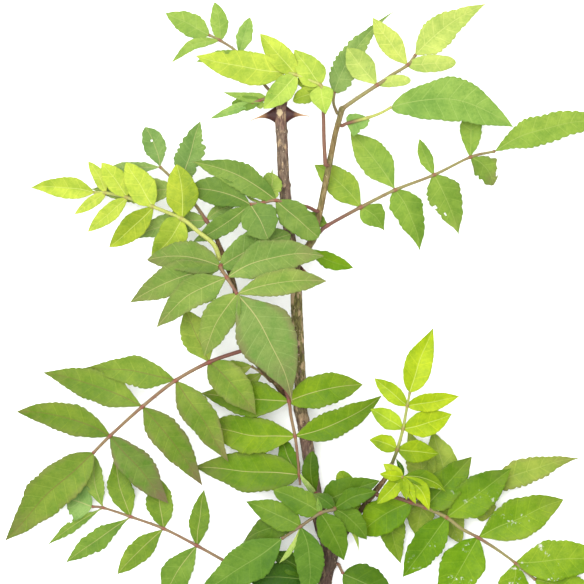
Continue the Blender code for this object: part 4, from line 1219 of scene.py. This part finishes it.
@dataclass(frozen=True)
class BarkFinish:
    """The finish of bark, with painted shade on the sides that face away from up.

    Attributes:
        name: material name.
        dark: colour of its dark parts.
        light: colour of its light parts.
        tan: colour of its tan patches.
        lichen: strength of the green patches.
    """

    name: str
    dark: Colour
    light: Colour
    tan: Colour
    lichen: float

    WARM = (1.12, 0.92, 0.98)
    MOSS_DARK = (0.064, 0.060, 0.014)
    MOSS_LIGHT = (0.205, 0.190, 0.050)
    FOOT = (0.026, 0.014, 0.010)
    # Tint of the painted shade on the sides that face away from up
    SIDE = (0.45, 0.36, 0.30)

    def make(self) -> bpy.types.Material:
        """Make the material.

        Returns:
            The bark material.
        """
        shader = Shader(self.name)
        grain = shader.noise(shader.stretched(0.25), 1000.0, 5.0, 0.65)
        broad = shader.noise(shader.stretched(0.5), 90.0, 3.0, 0.6)
        flakes = shader.noise(shader.stretched(0.38), 420.0, 4.0, 0.6)
        patch = shader.noise(shader.stretched(0.45), 230.0, 4.0, 0.6)
        scars = shader.noise(shader.stretched(0.40), 240.0, 3.0)
        y = shader.parts(shader.where)[1]
        facing = shader.state()[2]
        colour = shader.mix(shader.window(grain, 0.32, 0.70), self.dark, self.light)
        colour = shader.mix(shader.window(broad, 0.42, 0.58), colour,
                            shader.tinted(colour, self.WARM))
        zone = shader.times(shader.window(y, -0.085, -0.04), shader.below(y, 0.01, 0.06))
        zone = shader.times(zone, self.lichen)
        moss = shader.mix(shader.window(grain, 0.35, 0.65), self.MOSS_DARK, self.MOSS_LIGHT)
        colour = shader.mix(shader.times(shader.window(patch, 0.36, 0.47), zone), colour, moss)
        tan = shader.times(shader.window(flakes, 0.53, 0.64), 0.75)
        tan = shader.times(tan, shader.window(grain, 0.30, 0.52))
        tan = shader.larger(tan, shader.times(shader.window(scars, 0.57, 0.61), zone))
        colour = shader.mix(tan, colour, self.tan)
        colour = shader.mix(shader.times(shader.below(y, -0.15, -0.10), 0.6), colour, self.FOOT)
        # Painted shade: the sides that face down or sideways are darkened as if in shadow
        colour = shader.mix(shader.window(facing, 0.35, 0.90), shader.tinted(colour, self.SIDE),
                            colour)
        return shader.finished(shader.tinted(colour, SHADE), 0.78, 0.15, grain, 0.0006, 0.8)


@dataclass(frozen=True)
class PlainFinish:
    """A finish that runs between two colours by the state's red part, with a little noise.

    Attributes:
        name: material name.
        start: colour where the state is 0.
        end: colour where it is 1.
        roughness: roughness.
    """

    name: str
    start: Colour
    end: Colour
    roughness: float

    def make(self) -> bpy.types.Material:
        """Make the material.

        Returns:
            The material.
        """
        shader = Shader(self.name)
        fine = shader.noise(shader.where, 1200.0, 3.0)
        share = shader.plus(shader.state()[1], shader.times(shader.minus(fine, 0.5), 0.3),
                            clamp=True)
        colour = shader.tinted(shader.mix(share, self.start, self.end), SHADE)
        return shader.finished(colour, self.roughness, 0.12, fine, 0.0002, 0.4)


class Scatter:
    """A Geometry Nodes tree that scatters small bodies over a surface and joins them to it."""

    def __init__(self, name: str, cone: bool) -> None:
        """Build the tree.

        Args:
            name: the tree's name.
            cone: whether the bodies are cones, or else flattened beads.
        """
        self.tree = bpy.data.node_groups.new(name, "GeometryNodeTree")
        face = self.tree.interface
        face.new_socket("Geometry", in_out="INPUT", socket_type="NodeSocketGeometry")
        self.sockets = {}
        for title, kind in (("Density", "NodeSocketFloat"), ("Seed", "NodeSocketInt"),
                            ("Size", "NodeSocketFloat"), ("Material", "NodeSocketMaterial")):
            self.sockets[title] = face.new_socket(title, in_out="INPUT", socket_type=kind)
        face.new_socket("Geometry", in_out="OUTPUT", socket_type="NodeSocketGeometry")
        start = self.tree.nodes.new("NodeGroupInput").outputs
        points = self.add("GeometryNodeDistributePointsOnFaces",
                          {"Mesh": start["Geometry"], "Density": start["Density"],
                           "Seed": start["Seed"]})
        if cone:
            body = self.add("GeometryNodeMeshCone",
                            {"Vertices": 6, "Radius Bottom": 0.32, "Radius Top": 0.02,
                             "Depth": 1.6})
        else:
            body = self.add("GeometryNodeMeshIcoSphere", {"Radius": 1.0, "Subdivisions": 2})
        shaped = self.add("GeometryNodeTransform",
                          {"Geometry": body["Mesh"],
                           "Scale": (1.0, 1.0, 1.0) if cone else (1.0, 0.6, 0.35)})
        draw = self.add("FunctionNodeRandomValue", {2: 0.55, 3: 1.25, "Seed": start["Seed"]},
                        data_type="FLOAT")
        size = self.add("ShaderNodeMath", {0: draw[1], 1: start["Size"]}, operation="MULTIPLY")
        copies = self.add("GeometryNodeInstanceOnPoints",
                          {"Points": points["Points"], "Rotation": points["Rotation"],
                           "Instance": shaped["Geometry"], "Scale": size[0]})
        real = self.add("GeometryNodeRealizeInstances", {0: copies[0]})
        paint = self.add("GeometryNodeSetMaterial",
                         {"Geometry": real[0], "Material": start["Material"]})
        smooth = self.add("GeometryNodeSetShadeSmooth", {0: paint[0]})
        join = self.add("GeometryNodeJoinGeometry", {0: smooth[0]})
        self.tree.links.new(start["Geometry"], join[0].node.inputs[0])
        self.tree.links.new(join[0], self.tree.nodes.new("NodeGroupOutput").inputs[0])

    def add(self, kind: str, inputs: dict[str | int, object],
            **settings: object) -> bpy.types.NodeOutputs:
        """Add a node.

        Args:
            kind: the node's type.
            inputs: sockets to link or values to set, by the input's name or number.
            **settings: properties of the node.

        Returns:
            Its outputs.
        """
        made = self.tree.nodes.new(kind)
        for key, value in settings.items():
            setattr(made, key, value)
        for key, value in inputs.items():
            if isinstance(value, bpy.types.NodeSocket):
                self.tree.links.new(value, made.inputs[key])
            else:
                made.inputs[key].default_value = value
        return made.outputs

    def apply(self, target: bpy.types.Object, density: float, size: float, seed: int,
              material: bpy.types.Material) -> None:
        """Add the tree to an object with its inputs set.

        Args:
            target: the object.
            density: bodies a square metre.
            size: size of a body in metres.
            seed: seed of the draw.
            material: material of the bodies.
        """
        modifier = target.modifiers.new(self.tree.name, "NODES")
        modifier.node_group = self.tree
        for title, value in (("Density", density), ("Size", size), ("Seed", seed),
                             ("Material", material)):
            modifier[self.sockets[title].identifier] = value


def make_plain(made: bpy.types.Object) -> bpy.types.Object:
    """Turn an object's evaluated shape into its plain mesh.

    Args:
        made: the object with modifiers.

    Returns:
        The same object without modifiers.
    """
    bpy.context.view_layer.update()
    depsgraph = bpy.context.evaluated_depsgraph_get()
    mesh = bpy.data.meshes.new_from_object(made.evaluated_get(depsgraph))
    made.modifiers.clear()
    made.data = mesh
    return made


class FinishSet:
    """The materials and node trees that all pieces share."""

    def __init__(self) -> None:
        """Make every shared material and tree."""
        self.faces = {rib: BladeFinish(f"leaf_{rib.name.lower()}_rib", False, 0.42, rib.value,
                                       0.55 if rib is Rib.GREEN else 0.2).make()
                      for rib in Rib}
        self.underside = BladeFinish("leaf_underside", True, 0.62, Rib.GREEN.value, 0.5).make()
        self.stalks = {stalk: finish.make() for stalk, finish in STALKS.items()}
        self.bark = BarkFinish("bark_brown", (0.078, 0.052, 0.036), (0.240, 0.172, 0.118),
                               (0.52, 0.37, 0.21), 0.9).make()
        self.green_bark = BarkFinish("bark_green", (0.120, 0.100, 0.032), (0.250, 0.215, 0.080),
                                     (0.32, 0.24, 0.12), 0.0).make()
        self.dark_bark = BarkFinish("bark_dark_green", (0.060, 0.042, 0.014),
                                    (0.140, 0.100, 0.036), (0.26, 0.17, 0.09), 0.0).make()
        self.thorn = PlainFinish("thorn_maroon", (0.042, 0.011, 0.010), (0.50, 0.26, 0.10),
                                 0.45).make()
        self.wood = PlainFinish("cut_wood", (0.50, 0.38, 0.22), (0.62, 0.50, 0.31), 0.8).make()
        self.lenticel = PlainFinish("lenticel_tan", (0.44, 0.34, 0.22), (0.60, 0.50, 0.35),
                                    0.8).make()
        self.prickles = Scatter("prickles", True)
        self.beads = Scatter("beads", False)


def half_width(share: np.ndarray, blade: Blade) -> np.ndarray:
    """Return the half width of a blade: rounded at the root and drawn out at the tip.

    Args:
        share: shares of the length.
        blade: the leaflet.

    Returns:
        Half widths in millimetres.
    """
    rise = np.sin(0.5 * math.pi * np.clip(share / blade.belly, 0.0, 1.0)) ** blade.root
    fall = np.clip((share - blade.belly) / (1.0 - blade.belly), 0.0, 1.0)
    taper = (1.0 - fall) ** blade.taper * (1.0 + blade.taper * fall)
    return 0.5 * blade.width * np.where(share < blade.belly, rise, taper)


def edge_profile(shares: np.ndarray, lanes: np.ndarray, teeth: int, blade: Blade,
                 draw: random.Random) -> np.ndarray:
    """Return the factor that cuts uneven forward-leaning teeth and bays into both edges.

    Args:
        shares: shares of the length, one a row.
        lanes: signed shares of the half width, one a column.
        teeth: number of teeth on one edge.
        blade: the leaflet.
        draw: source of the unevenness.

    Returns:
        Factors for the half width, rows by columns.
    """
    lane = np.abs(lanes)
    factor = np.ones((len(shares), lanes.shape[1]))
    for side in (-1.0, 1.0):
        drift, bend = draw.random(), draw.uniform(0.25, 0.6)
        place_on_edge = teeth * shares + drift + bend * np.sin(7.0 * shares + 6.0 * drift)
        depths = np.array([draw.uniform(0.35, 1.25) for _ in range(teeth + 4)])
        depth = depths[np.clip(np.floor(place_on_edge).astype(int) + 1, 0, teeth + 3)]
        crest = np.sin(math.pi * (place_on_edge % 1.0) ** 1.5) ** 0.7
        bays = (0.6 * np.sin(2 * math.pi * (draw.uniform(1.6, 2.6) * shares + draw.random()))
                + 0.4 * np.sin(2 * math.pi * (draw.uniform(3.2, 4.6) * shares + draw.random())))
        reach = min(DEEPEST_TOOTH, TOOTH_DEPTH / blade.width)
        cut = (reach * blade.ragged * depth * (crest - 0.75) * lane ** 6
               + BAY_DEPTH * blade.ragged * bays * lane ** 2)
        factor = np.where(lanes * side >= 0.0, 1.0 + cut, factor)
    return factor


def add_blade(draft: MeshDraft, blade: Blade, root: Point, tone: Tone,
              draw: random.Random) -> None:
    """Add one leaflet to a draft as a single sheet.

    Args:
        draft: where it goes.
        blade: the leaflet.
        root: layout point that it grows from.
        tone: tint of its leaf.
        draw: source of its small irregularities.
    """
    start = np.array(root, dtype=float)
    span = np.array(blade.tip) - start
    length = float(np.linalg.norm(span))
    side = np.array([-span[1], span[0], 0.0])
    side /= np.linalg.norm(side)
    up = np.cross(span / length, side)
    up *= 1.0 if up[2] > 0.0 else -1.0
    teeth = max(4, round(length * TOOTHED_SHARE / TOOTH_LENGTH))
    rows = teeth * ROWS_PER_TOOTH + 5
    shares = np.linspace(0.0, 1.0, rows)[:, None]
    lanes = np.linspace(1.0, -1.0, 2 * COLUMNS + 1)[None, :]
    lanes = np.sign(lanes) * np.abs(lanes) ** LANE_POWER
    lane = np.abs(lanes)
    hump = 4.0 * shares * (1.0 - shares)
    sway = draw.uniform(-SWAY, SWAY)
    midrib = (start + span * shares
              + side * ((blade.bow + sway * np.sin(3 * math.pi * shares)) * length * hump)
              + np.array([0.0, 0.0, 1.0]) * (blade.arch * length * hump))
    reach = half_width(shares, blade)
    phase = 0.5 * teeth * (shares - VEIN_SKEW * lane * (blade.width / length))
    tooth = edge_profile(shares, lanes, teeth, blade, draw)
    stem_half = ROOT_HALF * np.clip(1.0 - shares * 3.0, 0.0, 1.0)
    spread = np.maximum(reach * tooth, stem_half)
    waves, turn = draw.uniform(1.6, 2.8), draw.random()
    ruffle = RUFFLE * blade.width * lane ** 2 * np.sin(
        2 * math.pi * (waves * shares + turn + 0.22 * np.sign(lanes))) * np.sin(math.pi * shares)
    quilt = QUILT * np.cos(2 * math.pi * phase) * np.sin(math.pi * np.clip(lane, 0, 1)) ** 0.8
    quilt = quilt * np.sin(math.pi * shares) ** 0.5 * min(1.0, blade.width / 12.0)
    gutter = (GUTTER_DEPTH * np.exp(-(lane * reach / GUTTER_WIDTH) ** 2)
              * np.sin(math.pi * shares) ** 0.5)
    lift = blade.fold * lane ** 1.15 * spread + ruffle + quilt + gutter
    twist = draw.uniform(-TWIST, TWIST) * shares ** 2
    offset = lanes * spread
    grid = (midrib[:, None, :] + side * (offset * np.cos(twist))[..., None]
            + up * (lift + offset * np.sin(twist))[..., None])
    uv = np.stack([np.broadcast_to(shares, offset.shape),
                   np.broadcast_to(0.5 + 0.5 * lanes, offset.shape)], axis=-1)
    veins = np.stack([phase, lane * reach / 10.0 * (17.0 / blade.width) ** 0.6], axis=-1)
    draft.add_grid(place(grid), uv, veins, blade_tint(blade, tone, shares, lanes, draw),
                   keep=unbitten(blade, shares, lanes, length, reach))


def blade_tint(blade: Blade, tone: Tone, shares: np.ndarray, lanes: np.ndarray,
               draw: random.Random) -> np.ndarray:
    """Return a leaflet's colour and blush; the colour wavers along it, and one half is painted
    darker than the other as shade from its fold.

    Args:
        blade: the leaflet.
        tone: tint of its leaf.
        shares: shares of the length, one a row.
        lanes: signed shares of the half width, one a column.
        draw: source of the unevenness.

    Returns:
        Red, green, blue and blush, rows by columns by 4.
    """
    light, deep = (np.array(shifted(tone.seen, blade.youth + sign * draw.uniform(*TINT_SPREAD),
                                    blade.cool)) for sign in (1.0, -1.0))
    turns = draw.uniform(0.5, 1.2) * shares + draw.random()
    # The wave along the leaflet is its tone; the step between its two halves is painted shade from
    # its fold
    tone_and_half_shade = (0.5 + WAVER * np.sin(2.0 * math.pi * turns + np.abs(lanes))
              + PAINTED_HALF_SHADE * np.sign(lanes) * draw.choice((-1.0, 1.0)))
    state = np.zeros((*tone_and_half_shade.shape, 4))
    state[..., :3] = deep + (light - deep) * tone_and_half_shade[..., None]
    state[..., 3] = blade.purple
    return state


def unbitten(blade: Blade, shares: np.ndarray, lanes: np.ndarray, length: float,
             reach: np.ndarray) -> np.ndarray | None:
    """Mark the cells that stay where insects have bitten the leaflet.

    Args:
        blade: the leaflet.
        shares: shares of the length, one a row.
        lanes: signed shares of the half width, one a column.
        length: length in millimetres.
        reach: half width at each row.

    Returns:
        The mask, or None where nothing is bitten.
    """
    if not blade.bites:
        return None
    along = 0.5 * (shares[1:] + shares[:-1]) * length
    lane = 0.5 * (lanes[:, 1:] + lanes[:, :-1])
    middle = 0.5 * (reach[1:] + reach[:-1])
    keep = np.ones((len(along), lane.shape[1]), dtype=bool)
    for share, side, radius in blade.bites:
        keep &= np.hypot(along - share * length, (lane - side) * middle) > radius
    return keep


def thicken(made: bpy.types.Object) -> bpy.types.Object:
    """Give a sheet its thickness, with the underside's material below.

    Args:
        made: the sheet.

    Returns:
        The same object as a plain closed mesh.
    """
    solidify = made.modifiers.new("thickness", "SOLIDIFY")
    solidify.thickness = BLADE_THICKNESS * MM
    solidify.offset = 0.0
    solidify.material_offset = 1
    return make_plain(made)


def hand_over(piece: bpy.types.Object, node: str) -> None:
    """Attach a piece to the root body, hide the part that it stands for and log its faces.

    Args:
        piece: the piece.
        node: the node.
    """
    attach(piece, "root")
    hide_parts(node)
    LOG.info("%s: %d faces", piece.name, len(piece.data.polygons))


class Leaf:
    """One pinnate leaf: leaflets with veins and crenate edges on a thin rachis."""

    def __init__(self, plan: LeafPlan, finishes: FinishSet) -> None:
        """Keep the plan and a draw of its own.

        Args:
            plan: the measured plan.
            finishes: shared materials.
        """
        self.plan = plan
        self.finishes = finishes
        self.draw = random.Random(f"{plan.name}-{SEED}")

    def build_blades(self) -> bpy.types.Object:
        """Build all leaflets as one thin closed piece.

        Returns:
            The piece.
        """
        draft = MeshDraft()
        for blade in self.plan.blades:
            add_blade(draft, blade, self.plan.rachis[blade.joint], self.plan.tone, self.draw)
        return thicken(draft.make_object(f"{self.plan.name}.blades",
                                         [self.finishes.faces[self.plan.rib],
                                          self.finishes.underside]))

    def collar(self) -> np.ndarray:
        """Return the point inside the parent shoot where the rachis begins.

        Returns:
            A layout point near the surface of the nearest shoot.
        """
        foot = np.array(self.plan.rachis[0])
        best, closest = 1e9, foot
        for points in SHOOT_PATHS:
            path = smooth_path(np.array(points), 0.75)
            away = np.linalg.norm(path[:, :3] - foot, axis=1)
            near = int(np.argmin(away - path[:, 3]))
            if away[near] - path[near, 3] < best:
                best = away[near] - path[near, 3]
                inward = (path[near, :3] - foot) / away[near]
                closest = foot + inward * min(away[near], best + 0.7)
        return closest

    def build_rachis(self) -> bpy.types.Object:
        """Build the rachis with its swollen red joints and fine prickles.

        Returns:
            The piece.
        """
        plan = self.plan
        last = len(plan.rachis) - 1
        thick, thin = plan.thick
        points = np.array([(x, y, z + RACHIS_LIFT * thick, thick + (thin - thick) * index / last)
                           for index, (x, y, z) in enumerate(plan.rachis)])
        path = smooth_path(points, 0.9)
        foot = np.array([*self.collar(), thick * 1.15])
        inner = [foot + (path[0] - foot) * share for share in (0.0, 0.35, 0.7)]
        path = np.vstack([inner, path])
        flush = np.zeros(len(path))
        for joint in {blade.joint for blade in plan.blades}:
            away = np.linalg.norm(path[:, :3] - points[joint, :3], axis=1)
            near = np.exp(-(away / JOINT_REACH) ** 2)
            path[:, 3] += JOINT_SWELL * near
            flush = np.maximum(flush, near)
        draft = MeshDraft()
        beyond = np.arange(len(path)) / len(path) - plan.foot
        foot_share = np.clip(0.5 - beyond / FOOT_BLEND, 0.0, 1.0)
        blank = np.zeros(len(path))
        state = np.stack([flush, blank, foot_share, blank + 1], axis=-1)
        draft.add_tube(path, RACHIS_SIDES, state)
        made = draft.make_object(f"{plan.name}.rachis", [self.finishes.stalks[plan.stalk]])
        self.finishes.prickles.apply(made, PRICKLE_DENSITY, PRICKLE_SIZE,
                                     self.draw.randint(1, 999), self.finishes.stalks[Stalk.RED])
        return make_plain(made)

    def dress(self) -> None:
        """Build the leaf's pieces and hand them to the frame."""
        hand_over(self.build_blades(), self.plan.name)
        hand_over(self.build_rachis(), self.plan.name)


@dataclass(frozen=True)
class ShootPlan:
    """The plan of a woody stem or a side shoot.

    Attributes:
        name: node that it stands for.
        points: layout points with radii.
        slot: record slot; not used.
        sides: sides of its tube.
        rough: size of its ridges in millimetres.
        nodes: arc positions of its leaf scars as shares of the length.
        blades: leaflets that grow from it.
    """

    name: str
    points: tuple[Ring, ...]
    slot: str
    sides: int
    rough: float
    nodes: tuple[float, ...]
    blades: tuple[Blade, ...] = ()


STEM = ShootPlan("main_stem", STEM_POINTS, "bark", 36, 0.22, (0.08, 0.17, 0.36, 0.62, 0.80, 0.90))
RIGHT_BRANCH = ShootPlan("right_branch", RIGHT_BRANCH_POINTS, "green_bark", 20, 0.08,
                         (0.12, 0.28, 0.62, 0.88), RIGHT_BRANCH_BLADES)
LEFT_BRANCH = ShootPlan("left_branch", LEFT_BRANCH_POINTS, "green_bark", 18, 0.07,
                        (0.25, 0.75, 0.85))
LOWER_RIGHT_BRANCH = ShootPlan("lower_right_branch", LOWER_RIGHT_BRANCH_POINTS, "green_bark", 18,
                               0.07, (0.4, 0.6), LOWER_RIGHT_BRANCH_BLADES)


class Shoot:
    """A bark-covered shoot with ridges, lenticels and, on the main stem, thorns."""

    def __init__(self, plan: ShootPlan, finishes: FinishSet, bark: bpy.types.Material) -> None:
        """Keep the plan.

        Args:
            plan: the plan.
            finishes: shared materials.
            bark: material of its bark.
        """
        self.plan = plan
        self.finishes = finishes
        self.bark = bark
        self.length = 0.0

    def ripple(self, arc: float, angle: float, point: np.ndarray) -> float:
        """Return the change of radius at a point of the bark.

        Args:
            arc: distance along the shoot in millimetres.
            angle: angle round it.
            point: layout point.

        Returns:
            Millimetres.
        """
        rough = self.plan.rough
        where = Vector((point[0] * 0.9, point[1] * 0.22, point[2] * 0.9))
        change = rough * noise.noise(where)
        change += 0.5 * rough * noise.noise(where * 2.7)
        for share in self.plan.nodes:
            away = arc - share * self.length
            change += 1.6 * rough * math.exp(-(away / 1.3) ** 2) * (1.0 + 0.5 * math.cos(angle))
        return change

    def build(self) -> bpy.types.Object:
        """Build the shoot as one piece.

        Returns:
            The piece.
        """
        path = smooth_path(np.array(self.plan.points), 0.75)
        self.length = float(np.sum(np.linalg.norm(np.diff(path[:, :3], axis=0), axis=1)))
        draft = MeshDraft()
        draft.add_tube(path, self.plan.sides, np.array(BARK_STATE), BARK, WOOD, self.ripple)
        self.add_trim(draft)
        made = draft.make_object(self.plan.name + ".bark",
                                 [self.bark, self.finishes.thorn, self.finishes.wood])
        self.finishes.beads.apply(made, BEAD_DENSITY, BEAD_SIZE, BEAD_SEED, self.finishes.lenticel)
        return make_plain(made)

    def add_trim(self, draft: MeshDraft) -> None:
        """Add what only some shoots have; a plain shoot adds nothing.

        Args:
            draft: where it goes; not used by a plain shoot.
        """

    def dress(self) -> None:
        """Build the piece and hand it to the frame."""
        hand_over(self.build(), self.plan.name)
        if self.plan.blades:
            draft = MeshDraft()
            draw = random.Random(f"{self.plan.name}-{SEED}")
            for blade in self.plan.blades:
                add_blade(draft, blade, self.plan.points[blade.joint][:3], Tone.BRIGHT, draw)
            sheet = draft.make_object(f"{self.plan.name}.blades",
                                      [self.finishes.faces[Rib.GREEN],
                                       self.finishes.underside])
            hand_over(thicken(sheet), self.plan.name)


class MainStem(Shoot):
    """The woody stem with its thorns and its dried stub."""

    def add_trim(self, draft: MeshDraft) -> None:
        """Add the thorns and the stub.

        Args:
            draft: where they go.
        """
        for thorn in THORNS:
            self.add_thorn(draft, thorn)
        for points in (STUB_POINTS, KNOB_POINTS):
            trim = smooth_path(np.array(points), 0.6)
            draft.add_tube(trim, 14, np.array(BARK_STATE), BARK, BARK)
        self.add_scar(draft)

    @staticmethod
    def add_scar(draft: MeshDraft) -> None:
        """Add the heart-shaped leaf scar that lies on the top node.

        Args:
            draft: where it goes.
        """
        sides, rows = 28, 6
        angles = ring_angles(sides)
        outline = 1.0 - 0.28 * np.cos(angles) ** 2 * (np.sin(angles) > 0) + 0.35 * np.exp(
            -((angles - 1.5 * math.pi) / 0.45) ** 2) - 0.30 * np.exp(
            -((angles - 0.5 * math.pi) / 0.30) ** 2)
        shares = np.linspace(1.0, 0.02, rows)
        grid = np.zeros((rows, sides, 3))
        for i, share in enumerate(shares):
            x = SCAR_CENTRE[0] + SCAR_RADIUS * share * outline * np.cos(angles)
            y = SCAR_CENTRE[1] + SCAR_RADIUS * share * outline * np.sin(angles)
            crown = TOP_NODE_AXIS[1] + np.sqrt(
                np.maximum(0.0, TOP_NODE_RADIUS ** 2 - (x - TOP_NODE_AXIS[0]) ** 2))
            grid[i] = np.stack([x, y, crown - 0.5 * (i == 0) + 0.05 * (i > 0)], axis=-1)
        uv = np.zeros((rows, sides, 2))
        state = np.broadcast_to(np.array([0.4, 1.0, 0.0, 1.0]), (rows, sides, 4))
        start = draft.count
        draft.add_grid(place(grid), uv, uv, state, WOOD, closed=True)
        for ring, height, last in (((rows - 1) * sides, SCAR_TOP, False), (0, SCAR_BASE, True)):
            draft.add_cap(start + ring, sides, place(np.array([*SCAR_CENTRE, height])),
                          state[0, 0], WOOD, last)

    @staticmethod
    def add_thorn(draft: MeshDraft, thorn: Thorn) -> None:
        """Add one thorn as a loft of shrinking ovals.

        Args:
            draft: where it goes.
            thorn: its size and place.
        """
        foot, tip = np.array(thorn.foot), np.array(thorn.tip)
        along = np.array([0.0, 1.0, 0.0])
        outward = (tip - foot) / np.linalg.norm(tip - foot)
        across = np.cross(along, outward)
        across /= np.linalg.norm(across)
        shares = np.linspace(0.0, 0.99, 26)
        sides = 20
        angles = ring_angles(sides)
        grid = np.zeros((len(shares), sides, 3))
        state = np.zeros((len(shares), sides, 4))
        for i, share in enumerate(shares):
            centre = foot + (tip - foot) * share + along * (thorn.curve * 4 * share * (1 - share))
            narrow = (1.0 - share) ** THORN_TAPER + THORN_POINT
            for j, angle in enumerate(angles):
                grid[i, j] = (centre + along * (0.5 * thorn.base_length * narrow * math.cos(angle))
                              + across * (0.5 * thorn.thickness * (1 - 0.9 * share)
                                          * math.sin(angle)))
            state[i, :] = (min(1.0, max(0.0, share - TAN_FROM) * TAN_RATE), 0.0, 0.0, 1.0)
        uv = np.zeros((len(shares), sides, 2))
        start = draft.count
        draft.add_grid(place(grid)[:, ::-1], uv, uv, state, THORN, closed=True)
        draft.add_cap(start, sides, place(foot), state[0, 0], THORN, False)
        draft.add_cap(start + (len(shares) - 1) * sides, sides, place(tip), state[-1, 0], THORN,
                      True)


@dataclass(frozen=True)
class Studio:
    """The pale floor, the soft light and the camera.

    Attributes:
        floor_size: side of the floor in metres.
        sky: strength of the even light.
        key: power of the large soft lamp in watts.
        lamp_size: side of the lamp in metres.
        lamp_place: where the lamp hangs.
    """

    floor_size: float = 8.0
    sky: float = 1.60
    key: float = 142.0
    lamp_size: float = 2.0
    lamp_place: Point = (-0.5, 0.5, 2.8)

    def build(self) -> None:
        """Build the floor, the lamp, the sky and the camera."""
        self.make_floor()
        self.make_light()
        self.make_camera()

    def make_floor(self) -> None:
        """Make the pale floor."""
        half = 0.5 * self.floor_size
        mesh = bpy.data.meshes.new("floor")
        mesh.from_pydata([(-half, -half, 0.0), (half, -half, 0.0), (half, half, 0.0),
                          (-half, half, 0.0)], [], [(0, 1, 2, 3)])
        floor = bpy.data.objects.new("floor", mesh)
        bpy.context.scene.collection.objects.link(floor)
        shader = Shader("floor_white")
        shade = shader.mix(shader.noise(shader.where, 3.0), (0.90, 0.90, 0.90),
                           (0.93, 0.93, 0.93))
        shader.feed(shade, shader.bsdf.inputs["Base Color"])
        shader.feed(0.9, shader.bsdf.inputs["Roughness"])
        mesh.materials.append(shader.material)

    def make_light(self) -> None:
        """Make the even sky and one large soft lamp."""
        world = bpy.data.worlds.new("studio")
        world.use_nodes = True
        background = world.node_tree.nodes["Background"]
        background.inputs[0].default_value = (1.0, 1.0, 1.0, 1.0)
        background.inputs[1].default_value = self.sky
        bpy.context.scene.world = world
        lamp = bpy.data.lights.new("softbox", "AREA")
        lamp.shape = "SQUARE"
        lamp.size = self.lamp_size
        lamp.energy = self.key
        holder = bpy.data.objects.new("softbox", lamp)
        holder.location = self.lamp_place
        holder.rotation_euler = (-Vector(self.lamp_place)).to_track_quat("-Z", "Y").to_euler()
        bpy.context.scene.collection.objects.link(holder)

    def make_camera(self) -> None:
        """Make the camera that looks straight down at the photograph's centre."""
        data = bpy.data.cameras.new("photo_view")
        data.sensor_width = SENSOR
        data.lens = SENSOR * (CAMERA_HEIGHT - FOCUS_HEIGHT) / PHOTO_SPAN
        data.clip_end = 20.0
        camera = bpy.data.objects.new("photo_view", data)
        camera.location = (-SPRIG_CENTRE[0] * MM, -SPRIG_CENTRE[1] * MM, CAMERA_HEIGHT)
        bpy.context.scene.collection.objects.link(camera)
        bpy.context.scene.camera = camera
        bpy.context.scene.view_settings.view_transform = "Standard"


def main() -> None:
    """Build the studio, the shoots and the leaves in order."""
    logging.basicConfig(level=logging.INFO, format="%(message)s")
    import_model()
    finishes = FinishSet()
    MainStem(STEM, finishes, finishes.bark).dress()
    Shoot(RIGHT_BRANCH, finishes, finishes.green_bark).dress()
    Shoot(LEFT_BRANCH, finishes, finishes.dark_bark).dress()
    Shoot(LOWER_RIGHT_BRANCH, finishes, finishes.dark_bark).dress()
    for plan in LEAVES:
        Leaf(plan, finishes).dress()
    Studio().build()


if __name__ == "__main__":
    main()
